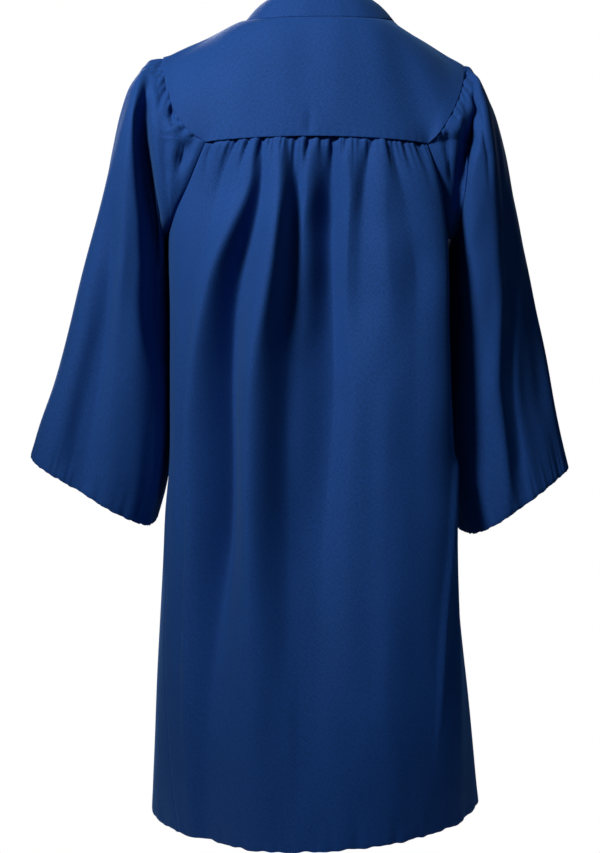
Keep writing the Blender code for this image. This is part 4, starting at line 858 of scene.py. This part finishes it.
def sleeveSurface(around, along, side):
    # armhole edge eased into the plain rings, then troughs in share of the depth and pleats along the normal
    sewn = armholeLine(around, side)[None, :, :]
    around, along = np.broadcast_arrays(around[None, :], along)
    plain = sleeveRing(around, along, side)
    eased = np.stack([ease(along / 0.05), ease(along / 0.10), ease(along / 0.12)], axis=-1)
    point = sewn + (plain - sewn) * eased
    away = sleeveRing(around, np.full_like(along, 0.06), side) - sewn
    level = np.where(np.abs(around - 0.5) < 0.2, 0.25, 1.0)
    away = away * np.stack([np.ones_like(level), level, level], axis=-1)
    away = away / np.linalg.norm(away, axis=-1, keepdims=True)
    point = point + away * sleeve["seamStep"] * (1.0 - ease(along / 0.05))[..., None]
    name = "left" if side > 0 else "right"
    table = sleeve[name + "Troughs"]
    value = [curveAt(table[:, 0], table[:, column], point[..., 2]) for column in range(1, 9)]
    x = np.abs(point[..., 0])
    share = value[1] * ease((x - value[0]) / 0.005)
    away = (x - value[2]) / value[3]
    away = np.where(away < 0, away * 0.62 * (1.0 - ease((-0.34 - point[..., 2]) / 0.07)), away)
    share = share + value[4] * np.exp(-np.abs(away) ** 1.8)
    flank = np.where(x > value[5], *sleeve[name + "Flanks"])
    share = share + value[7] * np.exp(-((x - value[5]) / (value[6] * flank)) ** 2)
    share = share + value[7] * sleeve[name + "Slope"] * ease((x - value[5]) / 0.055)
    share = share * ease((along - 0.015) / 0.05) * np.where(around < 0.5, 1.0, 0.8)
    part = np.where(around < 0.5, around, 1.0 - around)
    wave = np.cos(2 * math.pi * sleeve["pleats"] * (part / 0.25 + 0.05 * np.sin(part * 37.0)))
    fade = ease(along / 0.03) * np.exp(-(along / 0.13) ** 2) * ease((0.07 - part) / 0.03) * 0.5
    point = point.copy()
    point[..., 1] = point[..., 1] * (1.0 - share)
    point[..., 0] -= side * sleeve["innerHook"] * np.exp(-((around - 0.60) / 0.07) ** 2) * ease(along / 0.15)
    lift = np.stack([side * 0.5 * np.ones_like(x), np.sign(0.5 - around) * 0.7, np.zeros_like(x)], axis=-1)
    point = point + lift * (sleeve["pleatDepth"] * wave * fade * ease(part / 0.03))[..., None]
    relief = np.zeros_like(x)
    for place, lean, width, depth, length in sleevePleats(61 if side > 0 else 62):
        off = around - place - lean * along
        off = (off - np.round(off)) * 1.25
        across = np.abs(off / (width * (1.0 + along / 0.12)))
        relief = relief - depth * np.exp(-across ** 1.4) * np.exp(-(along / length) ** 2)
    relief = relief * (0.35 + 0.65 * ease(along / 0.02))
    below = ease(along / 0.006)
    for front in (False, True):
        near = (point[..., 1] < 0) if front else (point[..., 1] >= 0)
        creases = headCreases(side, front) + ([] if front else sleeveCreases[name])
        relief = relief + creaseRelief(creases, x, point[..., 2]) * near * below * ease((0.36 - part) / 0.03)
    uneven = drift(point[..., 0] + point[..., 1], point[..., 2], 51 + side, ((0.11, 0.0006), (0.05, 0.00025)))
    relief = relief + uneven * ease(along / 0.2)
    relief = relief - 0.0013 * (1.0 - ease(along / 0.012))
    place = np.abs(around - 0.5) * 1.4
    relief = relief + 0.7 * hemWave(place, (1.0 - along) * 0.5, 85 + side)
    point[..., 2] += 0.8 * hemWave(place, (1.0 - along) * 0.5, 95 + side)
    normal = gridNormals(point, -side, False)
    normal = np.concatenate([normal[4:5]] * 4 + [normal[4:]])
    return point + normal * relief[..., None]


def buildSleeve(name, side, material):
    # columns go round the sleeve, closest at the gathered head; rows run from the armhole to the cuff
    around = np.concatenate([np.linspace(0, 0.22, 100)[:-1], np.linspace(0.22, 0.5, 52)[:-1],
                             np.linspace(0.5, 0.79, 44)[:-1], np.linspace(0.79, 1.0, 74)[:-1]])
    samples = sleeveRing(around[None, :], np.linspace(0, 1, 60)[:, None] * np.ones_like(around)[None, :], side)
    length = np.linalg.norm(np.diff(samples, axis=0), axis=-1).sum(axis=0)
    along = np.linspace(0.0, 1.0, 150)[:, None] ** 1.55 * (1.0 - sleeve["cuffRows"][0] / length)[None, :]
    cuff = 1.0 - np.array(sleeve["cuffRows"][1:])[:, None] / length[None, :]
    points = sleeveSurface(around, np.concatenate([along, cuff]), side)
    # two more rows behind the armhole edge, on the way to the middle of the shoulder
    sewn = armholeLine(around, side)
    inner = np.array([side * 0.10, 0.0, -0.20]) - sewn
    inner = inner / np.linalg.norm(inner, axis=-1, keepdims=True)
    points = np.concatenate([np.stack([sewn + inner * 0.0065, sewn + inner * 0.0022]), points])
    points = foldUnder(points, -side, True, 4, cloth["hemRadius"])
    return gridPiece(name, points, -side, material, cloth["wall"], closed=True)


def newMaterial(name):
    material = bpy.data.materials.new(name)
    material.use_nodes = True
    return material, material.node_tree.nodes, material.node_tree.links


def weaveMaterial(name, light, dark, thread, relief):
    # plain weave: two crossed bands of threads, slubs drawn out along them, and a slow drift of the dye
    material, nodes, links = newMaterial(name)
    shader = nodes["Principled BSDF"]
    shader.inputs["Roughness"].default_value = 0.82
    shader.inputs["Specular IOR Level"].default_value = 0.22
    shader.inputs["Sheen Weight"].default_value = 0.22
    shader.inputs["Sheen Roughness"].default_value = 0.45
    shader.inputs["Sheen Tint"].default_value = (0.16, 0.42, 0.90, 1.0)
    flat = nodes.new("ShaderNodeUVMap")
    flat.uv_map = "weave"
    heights = []
    for direction in ("X", "Y"):
        band = nodes.new("ShaderNodeTexWave")
        band.bands_direction = direction
        band.inputs["Scale"].default_value = 0.314 / thread
        band.inputs["Distortion"].default_value = 0.4
        band.inputs["Detail"].default_value = 0.0
        links.new(flat.outputs["UV"], band.inputs["Vector"])
        heights.append(band.outputs["Fac"])
    slubs = []
    for stretch in ((900.0, 240.0, 1.0), (240.0, 900.0, 1.0)):
        turn = nodes.new("ShaderNodeMapping")
        turn.inputs["Scale"].default_value = stretch
        links.new(flat.outputs["UV"], turn.inputs["Vector"])
        noise = nodes.new("ShaderNodeTexNoise")
        noise.inputs["Scale"].default_value = 1.0
        noise.inputs["Detail"].default_value = 2.0
        links.new(turn.outputs["Vector"], noise.inputs["Vector"])
        slubs.append(noise.outputs["Fac"])
    crossed = nodes.new("ShaderNodeMath")
    crossed.operation = "MAXIMUM"
    links.new(heights[0], crossed.inputs[0])
    links.new(heights[1], crossed.inputs[1])
    grain = nodes.new("ShaderNodeMath")
    grain.operation = "ADD"
    links.new(slubs[0], grain.inputs[0])
    links.new(slubs[1], grain.inputs[1])
    coarse = nodes.new("ShaderNodeBump")
    coarse.inputs["Strength"].default_value = 0.35
    coarse.inputs["Distance"].default_value = relief * 2.2
    links.new(grain.outputs[0], coarse.inputs["Height"])
    fine = nodes.new("ShaderNodeBump")
    fine.inputs["Strength"].default_value = 0.5
    fine.inputs["Distance"].default_value = relief
    links.new(crossed.outputs[0], fine.inputs["Height"])
    links.new(coarse.outputs["Normal"], fine.inputs["Normal"])
    links.new(fine.outputs["Normal"], shader.inputs["Normal"])
    place = nodes.new("ShaderNodeTexCoord")
    cloudy = nodes.new("ShaderNodeTexNoise")
    cloudy.inputs["Scale"].default_value = 9.0
    cloudy.inputs["Detail"].default_value = 3.0
    links.new(place.outputs["Object"], cloudy.inputs["Vector"])
    dye = nodes.new("ShaderNodeMix")
    dye.data_type = "RGBA"
    dye.inputs["A"].default_value = (*dark, 1.0)
    dye.inputs["B"].default_value = (*light, 1.0)
    blend = nodes.new("ShaderNodeMath")
    blend.operation = "MULTIPLY_ADD"
    blend.inputs[1].default_value = 3.2
    links.new(grain.outputs[0], blend.inputs[0])
    half = nodes.new("ShaderNodeMath")
    half.operation = "MULTIPLY_ADD"
    half.inputs[1].default_value = 0.9
    half.inputs[2].default_value = -3.15
    links.new(cloudy.outputs["Fac"], half.inputs[0])
    links.new(half.outputs[0], blend.inputs[2])
    links.new(blend.outputs[0], dye.inputs["Factor"])
    links.new(dye.outputs["Result"], shader.inputs["Base Color"])
    return material


def mouldedMaterial(name, colour):
    # dyed nylon: fine pits from the mould and a slow change of gloss
    material, nodes, links = newMaterial(name)
    shader = nodes["Principled BSDF"]
    shader.inputs["Base Color"].default_value = (*colour, 1.0)
    shader.inputs["Specular IOR Level"].default_value = 0.4
    place = nodes.new("ShaderNodeTexCoord")
    pits = nodes.new("ShaderNodeTexNoise")
    pits.inputs["Scale"].default_value = 2600.0
    gloss = nodes.new("ShaderNodeMapRange")
    gloss.inputs["To Min"].default_value = 0.34
    gloss.inputs["To Max"].default_value = 0.52
    bump = nodes.new("ShaderNodeBump")
    bump.inputs["Strength"].default_value = 0.3
    bump.inputs["Distance"].default_value = 0.00005
    links.new(place.outputs["Object"], pits.inputs["Vector"])
    links.new(pits.outputs["Fac"], gloss.inputs["Value"])
    links.new(gloss.outputs["Result"], shader.inputs["Roughness"])
    links.new(pits.outputs["Fac"], bump.inputs["Height"])
    links.new(bump.outputs["Normal"], shader.inputs["Normal"])
    return material


def nickelMaterial(name):
    # plated metal: drawn scratches along the pull, duller where hands rub it
    material, nodes, links = newMaterial(name)
    shader = nodes["Principled BSDF"]
    shader.inputs["Metallic"].default_value = 1.0
    place = nodes.new("ShaderNodeTexCoord")
    stretch = nodes.new("ShaderNodeMapping")
    stretch.inputs["Scale"].default_value = (2600.0, 2600.0, 160.0)
    scratches = nodes.new("ShaderNodeTexNoise")
    scratches.inputs["Scale"].default_value = 1.0
    scratches.inputs["Detail"].default_value = 3.0
    rubbed = nodes.new("ShaderNodeTexNoise")
    rubbed.inputs["Scale"].default_value = 160.0
    tone = nodes.new("ShaderNodeMix")
    tone.data_type = "RGBA"
    tone.inputs["A"].default_value = (0.46, 0.46, 0.45, 1.0)
    tone.inputs["B"].default_value = (0.66, 0.65, 0.62, 1.0)
    gloss = nodes.new("ShaderNodeMapRange")
    gloss.inputs["To Min"].default_value = 0.20
    gloss.inputs["To Max"].default_value = 0.42
    bump = nodes.new("ShaderNodeBump")
    bump.inputs["Strength"].default_value = 0.25
    bump.inputs["Distance"].default_value = 0.00003
    links.new(place.outputs["Object"], stretch.inputs["Vector"])
    links.new(stretch.outputs["Vector"], scratches.inputs["Vector"])
    links.new(place.outputs["Object"], rubbed.inputs["Vector"])
    links.new(rubbed.outputs["Fac"], tone.inputs["Factor"])
    links.new(tone.outputs["Result"], shader.inputs["Base Color"])
    links.new(scratches.outputs["Fac"], gloss.inputs["Value"])
    links.new(gloss.outputs["Result"], shader.inputs["Roughness"])
    links.new(scratches.outputs["Fac"], bump.inputs["Height"])
    links.new(bump.outputs["Normal"], shader.inputs["Normal"])
    return material


royal = {"light": (0.0090, 0.0640, 0.2760), "dark": (0.0052, 0.0430, 0.1940)}
clothLook = weaveMaterial("royalCloth", royal["light"], royal["dark"], 0.0007, 0.00010)

yokeCloth = buildYoke(clothLook)
collarCloth = buildCollar(clothLook)
print("yoke and collar made")
backCloth = buildBack(clothLook)
frontLeft = buildFront("frontLeftCloth", 1, clothLook)
frontRight = buildFront("frontRightCloth", -1, clothLook)
print("back and fronts made")
sleeveLeft = buildSleeve("sleeveLeftCloth", 1, clothLook)
sleeveRight = buildSleeve("sleeveRightCloth", -1, clothLook)
print("sleeves made")

for piece, node in ((yokeCloth, "yoke"), (collarCloth, "collar"), (backCloth, "back"), (frontLeft, "front_left"),
                    (frontRight, "front_right"), (sleeveLeft, "sleeve_left"), (sleeveRight, "sleeve_right")):
    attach(piece, "gown")
    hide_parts(node)

# the zip: two woven tapes, moulded teeth, and the CAD slider and pull in nickel
threadLook = weaveMaterial("threadRoyal", (0.0110, 0.0700, 0.2900), (0.0080, 0.0520, 0.2300), 0.0003, 0.00004)
tapeLook = weaveMaterial("tapeRoyal", (0.0080, 0.0500, 0.2200), (0.0050, 0.0380, 0.1700), 0.0009, 0.00016)
teethLook = mouldedMaterial("teethRoyal", (0.0070, 0.0420, 0.1900))
nickelLook = nickelMaterial("nickel")
zipTapeLeft = buildTape("zipTapeLeft", 1, tapeLook)
zipTapeRight = buildTape("zipTapeRight", -1, tapeLook)
zipTeeth = buildChain(teethLook)
zipStitches = []
for name, side in (("zipStitchesLeft", 1), ("zipStitchesRight", -1)):
    height = np.linspace(zipSizes["top"] - 0.006, zipSizes["bottom"], 400)
    path = np.stack([np.full(400, side * zipSizes["stitchAway"]), frontLine(height), height], axis=-1)
    out = np.tile([0.0, -1.0, 0.0], (400, 1))
    zipStitches.append(buildStitches(name, path, out, zipSizes["stitchPitch"], zipSizes["stitchLength"], threadLook))
for piece, node in ((zipTapeLeft, "zip_tape_left"), (zipTapeRight, "zip_tape_right"), (zipTeeth, "zip_chain")):
    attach(piece, "gown")
    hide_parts(node)
for piece in zipStitches:
    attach(piece, "gown")
for node in ("zip_slider", "zip_pull"):
    bpy.data.objects[node].material_slots[0].material = nickelLook
print("zip made")

# floor and light
floorSizes = {"height": -1.46, "radius": 0.6}
angles = np.linspace(0, 2 * math.pi, 97)[:-1]
rim = np.stack([np.cos(angles), np.sin(angles), np.zeros_like(angles)], axis=-1) * floorSizes["radius"]
rim[:, 2] = floorSizes["height"]
floorMesh = bpy.data.meshes.new("floor")
floorMesh.from_pydata(rim.tolist(), [], [list(range(len(rim)))])
floor = bpy.data.objects.new("floor", floorMesh)
bpy.context.scene.collection.objects.link(floor)
paper, paperNodes, paperLinks = newMaterial("paleFloor")
paperNodes["Principled BSDF"].inputs["Base Color"].default_value = (0.86, 0.86, 0.87, 1.0)
paperNodes["Principled BSDF"].inputs["Roughness"].default_value = 0.9
floorMesh.materials.append(paper)


def addLight(name, place, aim, size, power, colour, spread=180.0):
    data = bpy.data.lights.new(name, "AREA")
    data.shape, data.size, data.energy, data.color = "DISK", size, power, colour
    data.spread = math.radians(spread)
    lamp = bpy.data.objects.new(name, data)
    lamp.location = place
    lamp.rotation_mode = "QUATERNION"
    lamp.rotation_quaternion = (Vector(aim) - Vector(place)).to_track_quat("-Z", "Y")
    bpy.context.scene.collection.objects.link(lamp)


addLight("leftLight", (1.18, 1.38, 0.98), (0.0, 0.1, -0.22), 0.50, 9.3, (1.0, 0.97, 0.94), 75.0)
addLight("fillLight", (-1.5, 2.7, 0.1), (0.0, 0.1, -0.50), 1.8, 0.55, (0.30, 0.75, 1.0))
addLight("lowLight", (-0.7, 2.3, -1.3), (0.0, 0.15, -1.02), 0.6, 0.40, (0.10, 0.70, 1.0), 50.0)
addLight("rimLight", (-2.0, 0.35, 0.75), (-0.25, 0.05, -0.35), 0.7, 1.8, (0.55, 0.85, 1.0))
addLight("frontLight", (0.9, -2.4, 0.8), (0.0, -0.1, -0.5), 0.8, 70.0, (1.0, 0.97, 0.94))
addLight("frontFillLight", (-1.2, -2.6, 0.3), (0.0, -0.1, -0.5), 1.4, 9.0, (0.80, 0.92, 1.0))

world = bpy.data.worlds.new("studio")
bpy.context.scene.world = world
world.use_nodes = True
sky = world.node_tree.nodes
ambient = sky["Background"]
ambient.inputs["Color"].default_value = (1.0, 1.0, 1.0, 1.0)
ambient.inputs["Strength"].default_value = 0.006
backdrop = sky.new("ShaderNodeBackground")
backdrop.inputs["Color"].default_value = (1.0, 1.0, 1.0, 1.0)
backdrop.inputs["Strength"].default_value = 1.0
rays = sky.new("ShaderNodeLightPath")
choose = sky.new("ShaderNodeMixShader")
world.node_tree.links.new(rays.outputs["Is Camera Ray"], choose.inputs["Fac"])
world.node_tree.links.new(ambient.outputs["Background"], choose.inputs[1])
world.node_tree.links.new(backdrop.outputs["Background"], choose.inputs[2])
world.node_tree.links.new(choose.outputs["Shader"], sky["World Output"].inputs["Surface"])

# focal length and height of the view in pixels of the photograph's size
view = {"focal": 1696.0, "pixels": 853.0, "place": (0.019, 2.5, -0.350), "tilt": 2.82, "shift": -0.1}
bpy.context.scene.view_settings.view_transform = "Standard"
camera = bpy.data.objects.new("camera", bpy.data.cameras.new("camera"))
camera.data.sensor_width = 36.0
camera.data.lens = view["focal"] * camera.data.sensor_width / view["pixels"]
camera.location = view["place"]
camera.data.shift_y = view["shift"]
camera.rotation_euler = (math.radians(90.0 - view["tilt"]), 0.0, math.pi)
bpy.context.scene.collection.objects.link(camera)
bpy.context.scene.camera = camera

print("scene ready")
